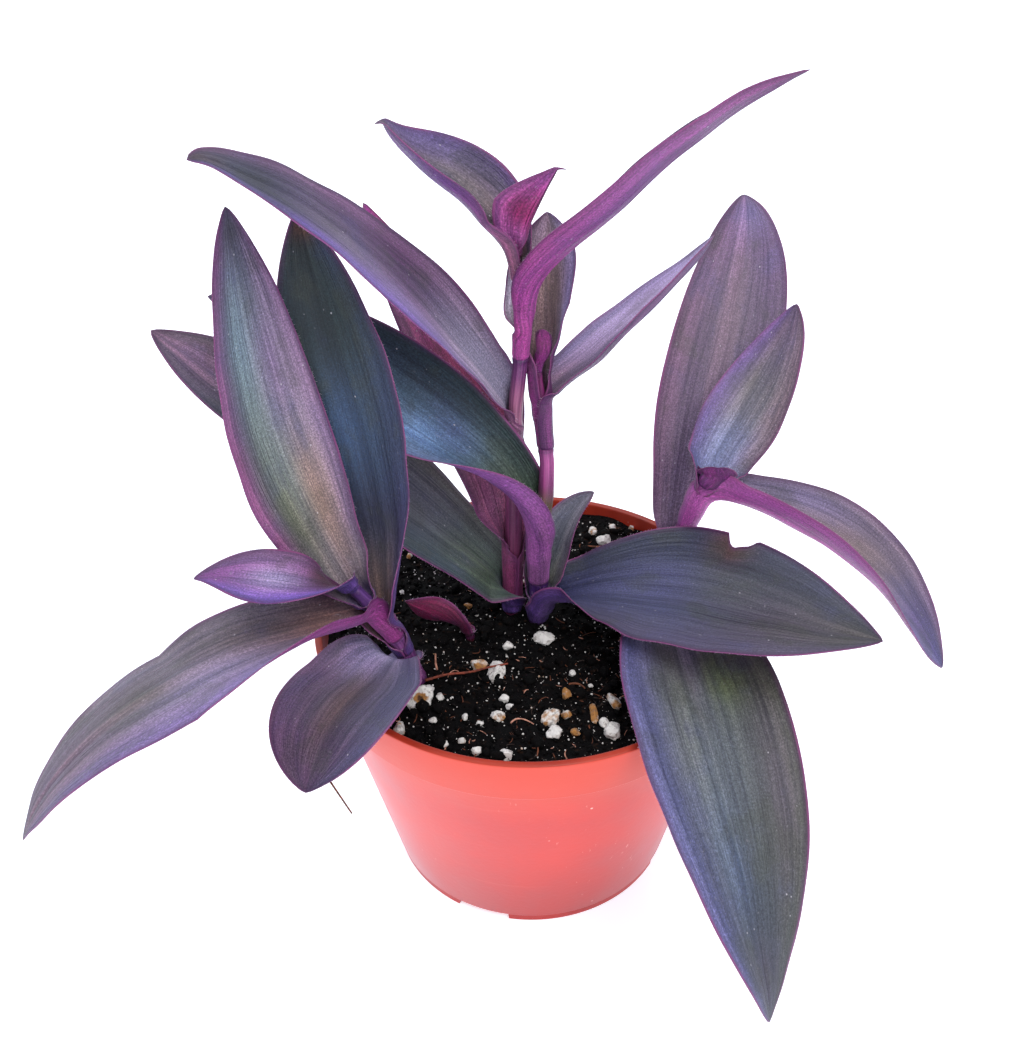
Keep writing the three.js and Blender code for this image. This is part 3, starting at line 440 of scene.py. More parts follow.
def ease(value):
    """Nought to one with soft ends."""
    share = np.clip(value, 0, 1)
    return share * share * (3 - 2 * share)


def blend(first, second, share):
    """A mixture of two values, all of the first at nought and all of the second at one."""
    return first * (1 - share) + second * share


def along(values, t):
    """A smooth value at share t, through the ones at the start, the middle and the end."""
    start, middle, end = values
    return start * (2 * t - 1) * (t - 1) + middle * 4 * t * (1 - t) + end * t * (2 * t - 1)


def between(place, places, values):
    """The row of values at a place, or at each of many places, between those given."""
    return np.stack([np.interp(place, places, column) for column in np.asarray(values).T], -1)


def distances(points):
    """How far each point is from the first, along the course."""
    return np.concatenate([[0], np.cumsum(np.linalg.norm(np.diff(points, axis=0), axis=1))])


def unit(vector):
    """The vector, or each of several, at length one."""
    return vector / np.linalg.norm(vector, axis=-1, keepdims=True)


def soft_noise(points, scale, seed):
    """Smooth noise from about -1 to 1 at points in millimetres."""
    shift = Vector((seed * 7.3, seed * 3.1, seed * 5.7))
    return np.array([noise.noise(Vector(p) / scale + shift) for p in points])


def build(name, points, faces, material):
    """A smooth mesh object from points in millimetres."""
    mesh = bpy.data.meshes.new(name)
    mesh.from_pydata([tuple(p) for p in np.asarray(points) / 1000], [], [tuple(f) for f in faces])
    mesh.update()
    mesh.shade_smooth()
    piece = bpy.data.objects.new(name, mesh)
    bpy.context.scene.collection.objects.link(piece)
    piece.data.materials.append(material)
    return piece


def paint(piece, colours):
    """A colour for each vertex, or one for all."""
    layer = piece.data.color_attributes.new(name="tint", type="FLOAT_COLOR", domain="POINT")
    full = np.ones((len(piece.data.vertices), 4))
    full[:, :3] = colours
    layer.data.foreach_set("color", full.ravel())


def mark(piece, name, values):
    """A named value for each vertex."""
    layer = piece.data.attributes.new(name=name, type="FLOAT", domain="POINT")
    layer.data.foreach_set("value", np.asarray(values, float).ravel())


def lay_map(piece, name, flat):
    """A texture map with one place per vertex."""
    layer = piece.data.uv_layers.new(name=name)
    corners = np.zeros(len(piece.data.loops), int)
    piece.data.loops.foreach_get("vertex_index", corners)
    layer.data.foreach_set("uv", np.asarray(flat, float)[corners].ravel())


def finish_piece(piece, node, slot):
    """Puts a piece on the one body, in a solid's place where it has one."""
    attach(piece, "root")
    if node:
        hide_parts(node)


# Materials


class Shader:
    """Builds one node material, a step at a time."""

    def __init__(self, name, roughness=0.5, **fixed):
        self.material = bpy.data.materials.new(name)
        self.material.use_nodes = True
        self.tree = self.material.node_tree
        self.surface = self.tree.nodes["Principled BSDF"]
        self.surface.inputs["Roughness"].default_value = roughness
        for socket, value in fixed.items():
            self.surface.inputs[socket.replace("_", " ")].default_value = value

    def node(self, kind, settings=None, **inputs):
        """A node, with its inputs given by name or, as i0, i1 and so on, by place."""
        made = self.tree.nodes.new(kind)
        for key, value in (settings or {}).items():
            setattr(made, key, value)
        for key, value in inputs.items():
            self.put(made.inputs[int(key[1:]) if key[1:].isdigit() else key], value)
        return made

    def put(self, socket, value):
        if isinstance(value, bpy.types.NodeSocket):
            self.tree.links.new(value, socket)
        else:
            socket.default_value = value

    def attribute(self, name, output="Fac"):
        return self.node("ShaderNodeAttribute", {"attribute_name": name}).outputs[output]

    def place(self):
        return self.node("ShaderNodeTexCoord").outputs["Object"]

    def map(self, name):
        return self.node("ShaderNodeUVMap", {"uv_map": name}).outputs[0]

    def times(self, a, b):
        return self.node("ShaderNodeMath", {"operation": "MULTIPLY"}, i0=a, i1=b).outputs[0]

    def plus(self, a, b):
        return self.node("ShaderNodeMath", {"operation": "ADD"}, i0=a, i1=b).outputs[0]

    def stretch(self, vector, scale):
        return self.node("ShaderNodeMapping", Vector=vector, Scale=scale).outputs[0]

    def noise(self, vector, scale, detail=3.0, rough=0.55):
        made = self.node("ShaderNodeTexNoise", Vector=vector, Scale=scale, Detail=detail, Roughness=rough)
        return made.outputs["Fac"]

    def cells(self, vector, scale):
        return self.node("ShaderNodeTexVoronoi", Vector=vector, Scale=scale).outputs["Distance"]

    def range(self, value, low, high, to_low=0.0, to_high=1.0):
        """The value with its range from low to high brought softly to another range."""
        made = self.node("ShaderNodeMapRange", {"interpolation_type": "SMOOTHSTEP"}, i0=value, i1=low,
                         i2=high, i3=to_low, i4=to_high)
        return made.outputs[0]

    def mix(self, share, a, b, kind="MIX"):
        """Two colours mixed; each is a socket, a name or three numbers."""
        made = self.node("ShaderNodeMix", {"data_type": "RGBA", "blend_type": kind}, i0=share)
        for socket, value in ((made.inputs[6], a), (made.inputs[7], b)):
            if isinstance(value, str):
                value = colour(value)
            self.put(socket, value if isinstance(value, bpy.types.NodeSocket) else (*value, 1))
        return made.outputs[2]

    def varied(self, skin, share, dark, light):
        """The skin multiplied by a tone between a dark and a light one."""
        return self.mix(1.0, skin, self.mix(share, dark, light), "MULTIPLY")

    def layers(self, skin, marks):
        """Lays on marks: pattern, where it sets in and is full, strength, colour or tone to multiply by."""
        for pattern, start, full, strength, tone in marks:
            kind = "MIX" if isinstance(tone, str) else "MULTIPLY"
            skin = self.mix(self.range(pattern, start, full, 0, strength), skin, tone, kind)
        return skin

    def base(self, value):
        self.put(self.surface.inputs["Base Color"], value)

    def roughness(self, value):
        self.put(self.surface.inputs["Roughness"], value)

    def bump(self, patterns, strength, distance):
        """Fine relief from patterns, each with its weight."""
        height = 0.0
        for pattern, weight in patterns:
            height = self.plus(height, self.times(pattern, weight))
        made = self.node("ShaderNodeBump", Height=height, Strength=strength, Distance=distance)
        self.put(self.surface.inputs["Normal"], made.outputs[0])


def leaf_material():
    """Fleshy leaf skin: veins and dashes, speckle, soft blotches, pale flecks, painted glints and a pink
    margin.
    """
    s = Shader("leaf_skin", 0.42, Specular_IOR_Level=0.4, Sheen_Weight=0.1, Sheen_Roughness=0.4,
               Sheen_Tint=(0.62, 0.58, 0.95, 1))
    flat = s.map("blade")
    size = s.map("size")
    shift = s.node("ShaderNodeCombineXYZ", Z=s.times(s.attribute("seed"), 3.7)).outputs[0]

    def moved(vector, scale):
        """A stretched map, moved to a place of its own for each leaf."""
        stretched = s.stretch(vector, scale)
        return s.node("ShaderNodeVectorMath", {"operation": "ADD"}, i0=stretched, i1=shift).outputs[0]

    def pattern(vector, scale, detail=3.0, rough=0.55):
        return s.noise(moved(vector, scale), 1.0, detail, rough)

    broad = pattern(flat, (6, 0.8, 1), 2.0)
    clouds = pattern(size, (11, 7, 1))
    dashes = pattern(flat, (38, 3.4, 1))
    lines = pattern(flat, (105, 1.6, 1), 2.0)
    speckle = pattern(size, (380, 230, 1), 2.0, 0.7)
    cross = pattern(size, (70, 330, 1), 1.0)
    scuffs = pattern(size, (120, 60, 1), 4.0, 0.75)
    worn = pattern(size, (10, 6, 4), 2.0)
    glint_patches = pattern(size, (17, 13, 2))
    dots = s.cells(moved(size, (55, 40, 1)), 1.0)

    skin = s.layers(s.attribute("tint", "Color"), [
        (broad, 0.62, 0.4, 0.9, (0.66, 0.68, 0.78)),
        (broad, 0.45, 0.66, 0.8, (1.32, 1.25, 1.3)),
        (clouds, 0.54, 0.72, 0.22, "#4c4f80"),
        (clouds, 0.46, 0.34, 0.3, "#3c4030"),
        (dashes, 0.5, 0.62, 0.42, (0.42, 0.4, 0.5)),
        (lines, 0.5, 0.68, 0.24, (1.7, 1.6, 1.7)),
        (lines, 0.48, 0.32, 0.45, (0.5, 0.46, 0.56)),
        (speckle, 0.5, 0.36, 0.62, (0.4, 0.4, 0.48)),
        (speckle, 0.52, 0.68, 0.62, (1.9, 1.9, 2.0)),
        (cross, 0.56, 0.7, 0.3, (1.5, 1.5, 1.6)),
    ])
    flecks = s.times(s.range(scuffs, 0.6, 0.72), s.range(worn, 0.5, 0.66))
    skin = s.mix(s.times(flecks, 0.42), skin, "#a9a4b4")
    # Painted glints: sparse pale dots that stand for small sparkles of light on the skin.
    painted_glints = s.times(s.range(dots, 0.05, 0.11, 1, 0), s.range(glint_patches, 0.5, 0.64))
    skin = s.mix(s.times(painted_glints, 0.6), skin, "#d9d2dc")
    ragged = s.plus(s.attribute("edge"), s.range(dashes, 0.3, 0.7, -0.25, 0.25))
    skin = s.mix(s.range(ragged, 0.2, 1.7, 0.5, 0), skin, "#4c1f4e")
    skin = s.mix(s.range(ragged, 0.08, 0.34, 0.75, 0), skin, "#8c4279")
    s.base(skin)
    s.roughness(s.plus(s.range(broad, 0.3, 0.7, 0.34, 0.46), s.range(speckle, 0.35, 0.65, -0.06, 0.08)))
    s.bump([(dashes, 1), (lines, 0.5), (speckle, 0.35), (cross, 0.2)], 0.7, 0.0005)
    return s.material


def stem_material():
    """Smooth juicy stem with darker lengthwise streaks."""
    s = Shader("stem_skin", 0.34, Specular_IOR_Level=0.4)
    size = s.map("size")
    streaks = s.noise(s.stretch(size, (900, 40, 1)), 1.0)
    blotches = s.noise(s.stretch(size, (300, 120, 1)), 1.0, 2.0)
    grain = s.noise(s.stretch(size, (2600, 1800, 1)), 1.0, 2.0)
    tint = s.attribute("tint", "Color")
    skin = s.varied(tint, s.range(streaks, 0.38, 0.64), (0.66, 0.6, 0.7), (1.3, 1.25, 1.25))
    s.base(s.layers(skin, [(blotches, 0.55, 0.75, 0.2, "#7f5d85"), (grain, 0.55, 0.7, 0.2, "#b48cb0")]))
    s.bump([(streaks, 1), (grain, 0.3)], 0.4, 0.0004)
    return s.material


def hair_material():
    """Fine pale hairs."""
    s = Shader("hair")
    s.base(s.mix(s.noise(s.place(), 900.0), "#a98fae", "#dccfe0"))
    return s.material


def pot_material():
    """Moulded plastic, coral outside and deeper orange-red on the lip and inside, with light scuffs."""
    s = Shader("pot_plastic", 0.42, Specular_IOR_Level=0.4, Sheen_Weight=0.42, Sheen_Roughness=0.3,
               Sheen_Tint=(1.0, 0.8, 0.9, 1))
    place = s.place()
    height = s.node("ShaderNodeSeparateXYZ", i0=place).outputs[2]
    mottle = s.noise(place, 55.0)
    scratches = s.noise(s.stretch(place, (60, 60, 900)), 1.0, 4.0)
    scuffs = s.noise(s.stretch(place, (700, 700, 160)), 1.0, 4.0, 0.7)
    patches = s.noise(place, 34.0, 2.0)
    marks = s.times(s.range(scuffs, 0.64, 0.7), s.range(patches, 0.55, 0.64))
    dots = s.range(s.cells(place, 260.0), 0.05, 0.1, 1, 0)
    specks = s.times(dots, s.range(s.noise(place, 70.0), 0.6, 0.66))
    outside = s.layers(s.mix(s.range(mottle, 0.3, 0.7), "#cc302b", "#d83b32"), [
        (height, 0.044, 0.062, 0.8, "#dd4c39"),
        # Painted shade: the outside darkens towards the bottom.
        (height, 0.036, 0.0, 1, (0.7, 0.6, 0.66)),
    ])
    inside = s.mix(s.range(mottle, 0.3, 0.7), "#8e2412", "#ab3119")
    skin = s.mix(s.attribute("inner"), outside, inside)
    skin = s.mix(s.range(scratches, 0.6, 0.75, 0, 0.05), skin, "#f09a88")
    skin = s.mix(s.times(marks, 0.6), skin, "#f4c4b8")
    skin = s.mix(s.times(specks, 0.75), skin, "#f8e2dc")
    s.base(skin)
    s.roughness(s.plus(s.range(mottle, 0.3, 0.7, 0.36, 0.46), s.times(marks, 0.2)))
    s.bump([(s.noise(place, 900.0, 2.0), 1), (scratches, 0.2)], 0.12, 0.0002)
    return s.material


def soil_material():
    """Damp potting mix, nearly black, with brown fibres in it."""
    s = Shader("soil_mix", 0.9, Specular_IOR_Level=0.1)
    place = s.place()
    coarse = s.noise(place, 320.0, 4.0)
    fine = s.noise(place, 1700.0, 3.0, 0.7)
    brown = s.noise(s.stretch(place, (500, 900, 500)), 1.0)
    skin = s.mix(s.range(coarse, 0.35, 0.7), "#020203", "#0b0809")
    s.base(s.layers(skin, [(brown, 0.6, 0.72, 0.7, "#2c1a10"), (fine, 0.66, 0.74, 0.7, "#857a74")]))
    s.roughness(s.range(coarse, 0.3, 0.7, 0.55, 0.95))
    s.bump([(coarse, 1), (fine, 1)], 0.8, 0.0006)
    return s.material


def grain_material():
    """Crumbly pale grains, white with ochre stains."""
    s = Shader("pale_grain", 0.8)
    place = s.place()
    patches = s.plus(s.noise(place, 420.0), s.times(s.attribute("stain"), 0.5))
    skin = s.mix(s.range(patches, 0.72, 0.9), "#e0dcd8", "#a8743c")
    pits = s.noise(place, 1100.0)
    s.base(s.layers(skin, [(pits, 0.52, 0.66, 0.6, "#6a5c58"), (patches, 1.0, 1.12, 0.9, "#3c2210")]))
    s.bump([(s.noise(place, 1500.0, 4.0), 1)], 0.9, 0.0005)
    return s.material


def scrap_material():
    """Dry fibres, bark and twig."""
    s = Shader("dry_scrap", 0.75)
    bands = s.noise(s.place(), 900.0)
    tint = s.attribute("tint", "Color")
    s.base(s.varied(tint, s.range(bands, 0.35, 0.7), (0.55, 0.5, 0.48), (1.3, 1.25, 1.2)))
    s.bump([(bands, 1)], 0.6, 0.0003)
    return s.material


LEAF_SKIN = leaf_material()
STEM_SKIN = stem_material()
HAIR = hair_material()
POT_PLASTIC = pot_material()
SOIL_MIX = soil_material()
PALE_GRAIN = grain_material()
DRY_SCRAP = scrap_material()


# Tubes and lumps


def ring_faces(rings, sides, first=0):
    """Faces between rings of points that follow one another."""
    faces = []
    for low in range(first, first + (rings - 1) * sides, sides):
        high = low + sides
        for side in range(sides):
            after = (side + 1) % sides
            faces.append((low + side, low + after, high + after, high + side))
    return faces


def tube(points, radii, sides):
    """A closed tube along points, as points and faces."""
    points = np.asarray(points, float)
    ahead = unit(np.gradient(points, axis=0))
    right = np.cross(ahead[0], [0, 0, 1.0])
    if np.linalg.norm(right) < 0.2:
        right = np.cross(ahead[0], [0, 1.0, 0])
    right = unit(right)
    angles = np.arange(sides) / sides * 2 * np.pi
    made = []
    for place, forward, radius in zip(points, ahead, radii):
        right = unit(right - forward * right.dot(forward))
        up = np.cross(forward, right)
        made.append(place + radius * (np.outer(np.cos(angles), right) + np.outer(np.sin(angles), up)))
    faces = ring_faces(len(points), sides)
    faces.append(tuple(range(sides))[::-1])
    faces.append(tuple(range((len(points) - 1) * sides, len(points) * sides)))
    return np.concatenate(made), faces


class Heap:
    """Gathers many small bodies into one mesh."""

    def __init__(self):
        self.points = []
        self.faces = []
        self.values = []
        self.count = 0

    def add(self, points, faces, value):
        """Adds one body, with one value for all its points."""
        self.points.append(np.asarray(points))
        self.faces += [tuple(index + self.count for index in face) for face in faces]
        self.values += [value] * len(points)
        self.count += len(points)

    def build(self, name, material):
        return build(name, np.concatenate(self.points), self.faces, material)


def ball(level):
    """Points and faces of a round lump of radius one."""
    shape = bmesh.new()
    bmesh.ops.create_icosphere(shape, subdivisions=level, radius=1)
    points = np.array([tuple(v.co) for v in shape.verts])
    faces = [tuple(v.index for v in f.verts) for f in shape.faces]
    shape.free()
    return points, faces


def turned(points, random):
    """Points turned to a random direction."""
    turn = Matrix.Rotation(random.uniform(0, 2 * math.pi), 3, Vector(unit(random.normal(size=3))))
    return points @ np.array(turn).T


# Pot


def inner_radius(height):
    """The pot's inner radius: an even slope up to the band and a steeper one from there to the lip."""
    if height < BAND_HEIGHT:
        return BAND_INNER + (height - BAND_HEIGHT) * WALL_LEAN
    widening = RIM_RADIUS - RIM_WIDTH - BAND_INNER
    return BAND_INNER + (height - BAND_HEIGHT) * widening / (RIM_HEIGHT - BAND_HEIGHT)


def rounded(corner_before, corner, corner_after, size, steps=4):
    """Points that round off one corner of a profile."""
    before, at, after = (np.array(p, float) for p in (corner_before, corner, corner_after))
    start = at + unit(before - at) * size
    end = at + unit(after - at) * size
    shares = np.linspace(0, 1, steps + 1)
    return [tuple((1 - t) ** 2 * start + 2 * t * (1 - t) * at + t * t * end) for t in shares]


def pot_profile():
    """The pot's section as radius and height, with the size of the rounding at each corner."""
    wall_foot = FOOT_RADIUS + FOOT_INSET
    wall_top = BAND_INNER + WALL
    inside = RIM_RADIUS - RIM_WIDTH
    corners = [
        ((0, 0), 0),
        ((PAD_RADIUS, 0), 0.2),
        ((PAD_RADIUS + 0.6, UNDERSIDE_HEIGHT), 0.2),
        ((FOOT_RADIUS - FOOT_WIDTH - 0.3, UNDERSIDE_HEIGHT), 0.2),
        ((FOOT_RADIUS - FOOT_WIDTH, 0), 0.25),
        ((FOOT_RADIUS, 0), 0.3),
        ((FOOT_RADIUS, FOOT_HEIGHT), 0.12),
        ((wall_foot, FOOT_HEIGHT + 0.3), 0.25),
        ((wall_top, BAND_HEIGHT - 0.2), 0.2),
        ((wall_top + BAND_STEP, BAND_HEIGHT + 0.2), 0.25),
        ((RIM_RADIUS, RIM_HEIGHT), 0.7),
        ((inside, RIM_HEIGHT), 0.6),
        ((inner_radius(BAND_HEIGHT), BAND_HEIGHT), 0.5),
        ((inner_radius(FLOOR_TOP + 1), FLOOR_TOP + 1), 0.4),
        ((inner_radius(FLOOR_TOP) - 0.8, FLOOR_TOP), 0.3),
        ((0, FLOOR_TOP), 0),
    ]
    places = [place for place, _ in corners]
    profile = [places[0]]
    for index in range(1, len(corners) - 1):
        profile += rounded(places[index - 1], places[index], places[index + 1], corners[index][1])
    profile.append(places[-1])
    return profile


def in_notch(angles):
    """True at the angles that lie inside a notch of the foot."""
    step = 2 * math.pi / NOTCH["count"]
    away = np.abs((angles - math.radians(NOTCH["bearing"]) + step / 2) % step - step / 2)
    return away < NOTCH_TURN


def pot_angles():
    """Angles round the pot, with a close pair at each side of each notch."""
    angles = list(np.arange(POT_SIDES) / POT_SIDES * 2 * np.pi)
    for index in range(NOTCH["count"]):
        middle = math.radians(NOTCH["bearing"] + index * 360 / NOTCH["count"])
        for side in (-NOTCH_TURN, NOTCH_TURN):
            angles += [(middle + side + gap) % (2 * np.pi) for gap in (-0.002, 0.002)]
    return np.array(sorted(angles))


def make_pot():
    """The pot as one turned form, with notches in its foot and holes in its floor."""
    profile = pot_profile()
    angles = pot_angles()
    notched = in_notch(angles)
    points = [(0, 0, 0)]
    for radius, height in profile[1:-1]:
        in_foot = FOOT_RADIUS - FOOT_WIDTH - 1 < radius < FOOT_RADIUS + 0.1 and height < NOTCH["height"]
        for angle, cut in zip(angles, notched):
            low = NOTCH["height"] if in_foot and cut else height
            points.append((radius * math.cos(angle), radius * math.sin(angle), low))
    points.append((0, 0, FLOOR_TOP))
    rings, sides = len(profile) - 2, len(angles)
    faces = ring_faces(rings, sides, 1)
    last = 1 + (rings - 1) * sides
    for side in range(sides):
        after = (side + 1) % sides
        faces.append((0, 1 + after, 1 + side))
        faces.append((len(points) - 1, last + side, last + after))
    pot = drilled(build("nursery_pot", points, faces, POT_PLASTIC))
    pot.data.set_sharp_from_angle(angle=math.radians(SHARP_CORNER))
    mark(pot, "inner", inner_share(pot))
    finish_piece(pot, "pot", "pot_plastic")


def inner_share(pot):
    """One on the inside and the top of the lip, nought outside."""
    places = np.array([tuple(v.co * 1000) for v in pot.data.vertices])
    radii, heights = np.hypot(places[:, 0], places[:, 1]), places[:, 2]
    walls = np.array([inner_radius(height) for height in heights])
    inner = (radii < walls + 0.7) & (heights > UNDERSIDE_HEIGHT + 0.4)
    return np.where(inner | (heights > RIM_HEIGHT - 0.35), 1.0, 0.0)


def drilled(pot):
    """The pot with its drain holes cut through the floor."""
    heap = Heap()
    for index in range(DRAIN["count"]):
        angle = (index + 0.5) / DRAIN["count"] * 2 * math.pi
        x, y = DRAIN["ring"] * math.cos(angle), DRAIN["ring"] * math.sin(angle)
        points, faces = tube([(x, y, UNDERSIDE_HEIGHT - 1), (x, y, FLOOR_TOP + 1)], [DRAIN["radius"]] * 2, 28)
        heap.add(points, faces, 0)
    cutter = heap.build("drain_cutter", POT_PLASTIC)
    modifier = pot.modifiers.new("drains", "BOOLEAN")
    modifier.object = cutter
    modifier.operation = "DIFFERENCE"
    modifier.solver = "EXACT"
    graph = bpy.context.evaluated_depsgraph_get()
    mesh = bpy.data.meshes.new_from_object(pot.evaluated_get(graph))
    pot.modifiers.clear()
    pot.data = mesh
    bpy.data.objects.remove(cutter)
    return pot


# Soil


def soil_height(x, y):
    """The even form of the soil, heaped toward the back."""
    tilt = SOIL_RISE * ease((np.asarray(y) + 20) / 70)
    waves = 0.35 * np.sin(x * 0.17 + 1) * np.cos(y * 0.21) + 0.25 * np.sin(x * 0.31 - y * 0.27)
    return SOIL_HEIGHT + tilt + waves


def rough_height(x, y):
    """The visible surface: the even form with clods and hollows."""
    place = Vector((x / 4.5, y / 4.5, 0.3))
    clods = noise.fractal(place, 0.7, 2.1, 4)
    edge = max(0.0, min(1.0, (SOIL_EDGE - math.hypot(x, y)) / 3))
    return float(soil_height(x, y)) + 0.75 * clods * (0.3 + 0.7 * edge) - 0.3


def make_soil():
    """The soil: a rough surface, sides close to the pot's wall and a flat underside."""
    turns = [side / SOIL_SIDES * 2 * math.pi for side in range(SOIL_SIDES)]
    around = [(math.cos(turn), math.sin(turn)) for turn in turns]
    points = []
    for ring in range(1, SOIL_RINGS + 1):
        radius = SOIL_EDGE * (ring / SOIL_RINGS) ** 0.8
        points += [(radius * x, radius * y, rough_height(radius * x, radius * y)) for x, y in around]
    underside = FLOOR_TOP + 0.25
    skirt = [(inner_radius(height) - 0.25, height) for height in (60, 57, 30, FLOOR_TOP + 1.2)]
    for radius, height in [*skirt, (inner_radius(FLOOR_TOP) - 1.3, underside)]:
        points += [(radius * x, radius * y, height) for x, y in around]
    total = len(points)
    points += [(0, 0, rough_height(0, 0)), (0, 0, underside)]
    faces = []
    for side in range(SOIL_SIDES):
        after = (side + 1) % SOIL_SIDES
        last = total - SOIL_SIDES
        faces.append((total, side, after))
        faces.append((total + 1, last + after, last + side))
        for low in range(0, last, SOIL_SIDES):
            high = low + SOIL_SIDES
            faces.append((low + side, high + side, high + after, low + after))
    soil = build("potting_soil", points, faces, SOIL_MIX)
    finish_piece(soil, "soil", "soil")


def clear_of_stems(x, y):
    """True at a place on the soil with no stem near it."""
    return all(math.hypot(x - stem["foot"][0], y - stem["foot"][1]) > stem["radius"][0] + 0.8
               for stem in STEMS.values())


def soil_spot(random, edge):
    """A random place on the soil, clear of the stems and so far from the soil's edge."""
    reach = SOIL_EDGE - edge
    while True:
        x, y = random.uniform(-reach, reach, 2)
        if math.hypot(x, y) < reach and clear_of_stems(x, y):
            return x, y


def strew(heap, kind, random):
    """Adds lumps of one kind, strewn over the soil, to a heap."""
    points, faces = ball(kind["level"])
    least, more, rarity = kind["size"]
    lift, share = kind["lift"]
    for index in range(kind["count"]):
        x, y = soil_spot(random, kind["edge"])
        size = least + more * random.random() ** rarity
        uneven = 1 + kind["uneven"] * soft_noise(points * size, 0.8, index)
        stretch = size * random.uniform(0.6, kind["widest"], 3)
        lump = turned(points * uneven[:, None] * stretch, random)
        stain = random.uniform(*kind["stain"]) if "stain" in kind else 0
        heap.add(lump + (x, y, rough_height(x, y) + lift + size * share), faces, stain)


def make_crumbs():
    """Dark crumbs of the soil and pale specks among them."""
    random = np.random.default_rng(5)
    dark, pale = Heap(), Heap()
    strew(dark, FINE_CRUMBS, random)
    strew(dark, COARSE_CRUMBS, random)
    strew(pale, SPECKS, random)
    crumbs = dark.build("soil_crumbs", SOIL_MIX)
    finish_piece(crumbs, None, "soil")
    specks = pale.build("pale_specks", PALE_GRAIN)
    mark(specks, "stain", pale.values)
    finish_piece(specks, None, "soil")


def chipped(points, random):
    """A round lump with a few flat faces broken off it."""
    for _ in range(CHIPS):
        away = unit(random.normal(size=3))
        over = np.maximum(points @ away - random.uniform(0.6, 0.88), 0)
        points = points - np.outer(over, away)
    return points * 1.12


def make_grains():
    """The larger pale grains, one of them hollowed like a piece of shell."""
    heap = Heap()
    random = np.random.default_rng(11)
    stained = []
    for index, (x, y, half, long, high, kind) in enumerate(GRAINS):
        points, faces = ball(4 if half > 1.5 else 3)
        stain = np.full(len(points), float(STAINS[kind]))
        coarse = soft_noise(points * half, 0.8, index)
        fine = soft_noise(points * half, 0.35, index + 50)
        uneven = 1 + 0.12 * coarse + 0.1 * fine
        if kind == "shell":
            hollow = np.exp(-np.sum((points - unit(np.array([0.1, -0.7, 0.5]))) ** 2, axis=1) / 0.35)
            uneven = uneven - 0.5 * hollow
            stain = stain + 1.5 * hollow - 0.35
        shape = chipped(points, random) * uneven[:, None] * (half, long, high)
        turn = np.array(Matrix.Rotation(random.uniform(-0.5, 0.5), 3, "Z"))
        heap.add(shape @ turn.T + (x, y, float(soil_height(x, y)) + high * 0.35), faces, 0)
        stained.append(stain)
    grains = heap.build("pale_grains", PALE_GRAIN)
    mark(grains, "stain", np.concatenate(stained))
    finish_piece(grains, None, "soil")


def curve_through(points, count):
    """A smooth course through three points."""
    return along([np.array(p, float) for p in points], np.linspace(0, 1, count)[:, None])


def make_scraps():
    """Scraps of bark and fibre on the soil, the one fibre that hangs free, and many fine loose ones."""
    heap = Heap()
    tones = {name: colour(tone) for name, tone in SCRAP_TONES.items()}
    for course, radius, tone in SCRAPS:
        lifted = [(x, y, float(soil_height(x, y)) + high) for x, y, high in course]
        heap.add(*tube(curve_through(lifted, 12), radius * np.linspace(1, 0.6, 12), 6), tones[tone])
    course, radius = HANGING_FIBRE
    heap.add(*tube(curve_through(course, 20), radius * np.linspace(1, 0.7, 20), 6), tones["bark"])
    random = np.random.default_rng(23)
    for _ in range(FIBRES["count"]):
        x, y = soil_spot(random, FIBRES["edge"])
        if y > -12 and random.random() < 0.6:
            continue
        size = 0.8 + 2.6 * random.random() ** 2
        angle = random.uniform(0, math.pi)
        tilt = random.uniform(-0.3, 0.5)
        step = np.array([math.cos(angle), math.sin(angle), tilt]) * size / 2
        bow = np.array([-step[1], step[0], 0.4]) * random.uniform(-0.5, 0.5)
        place = np.array([x, y, rough_height(x, y) + 0.45])
        course = curve_through([place - step, place + bow, place + step], FIBRES["steps"])
        radii = random.uniform(0.06, 0.16) * np.array([0.5, 1, 1, 0.9, 0.7, 0.4])
        tone = "bark" if random.random() < 0.55 else "dark"
        tone = tone if random.random() < 0.85 else "pale_fibre"
        heap.add(*tube(course, radii, FIBRES["sides"]), tones[tone])
    scraps = heap.build("bark_and_fibres", DRY_SCRAP)
    paint(scraps, np.array(heap.values))
    finish_piece(scraps, None, "dry_twig")


def make_twig():
    """The dry twig, slightly bowed and knotty."""
    ends = []
    for (x, y), lift in zip((TWIG["from"], TWIG["to"]), TWIG["lift"]):
        ends.append(np.array([x, y, float(soil_height(x, y)) + TWIG["radius"] + lift]))
    t = np.linspace(0, 1, 40)
    points = ends[0] + np.outer(t, ends[1] - ends[0])
    points[:, 2] += 0.35 * np.sin(t * math.pi) * np.sin(t * 9)
    points[:, 1] += 0.25 * np.sin(t * 5.5)
    radii = TWIG["seen"] * (1 - 0.3 * t) * (1 + 0.12 * np.sin(t * 43) + 0.08 * np.sin(t * 97))
    twig = build("dry_twig", *tube(points, radii, 10), DRY_SCRAP)
    paint(twig, colour(SCRAP_TONES["twig"]))
    finish_piece(twig, "twig", "dry_twig")


# Stems


def stem_course(stem):
    """Points up the stem and the distance of each from the soil."""
    start, half, end = (np.array(stem[k], float) for k in ("foot", "middle", "top"))
    pull = 2 * half - start / 2 - end / 2
    t = np.linspace(0, 1, 401)[:, None]
    points = (1 - t) ** 2 * start + 2 * t * (1 - t) * pull + t * t * end
    return points, distances(points)


COURSES = {name: stem_course(stem) for name, stem in STEMS.items()}


def seen_place(name, distance):
    """A place on the visible stem, which leans a little aside from the solid one."""
    centre, forward = stem_place(name, distance)
    places, right, back = zip(*STEMS[name].get("lean", [(0, 0, 0)]))
    return centre + (np.interp(distance, places, right), np.interp(distance, places, back), 0), forward


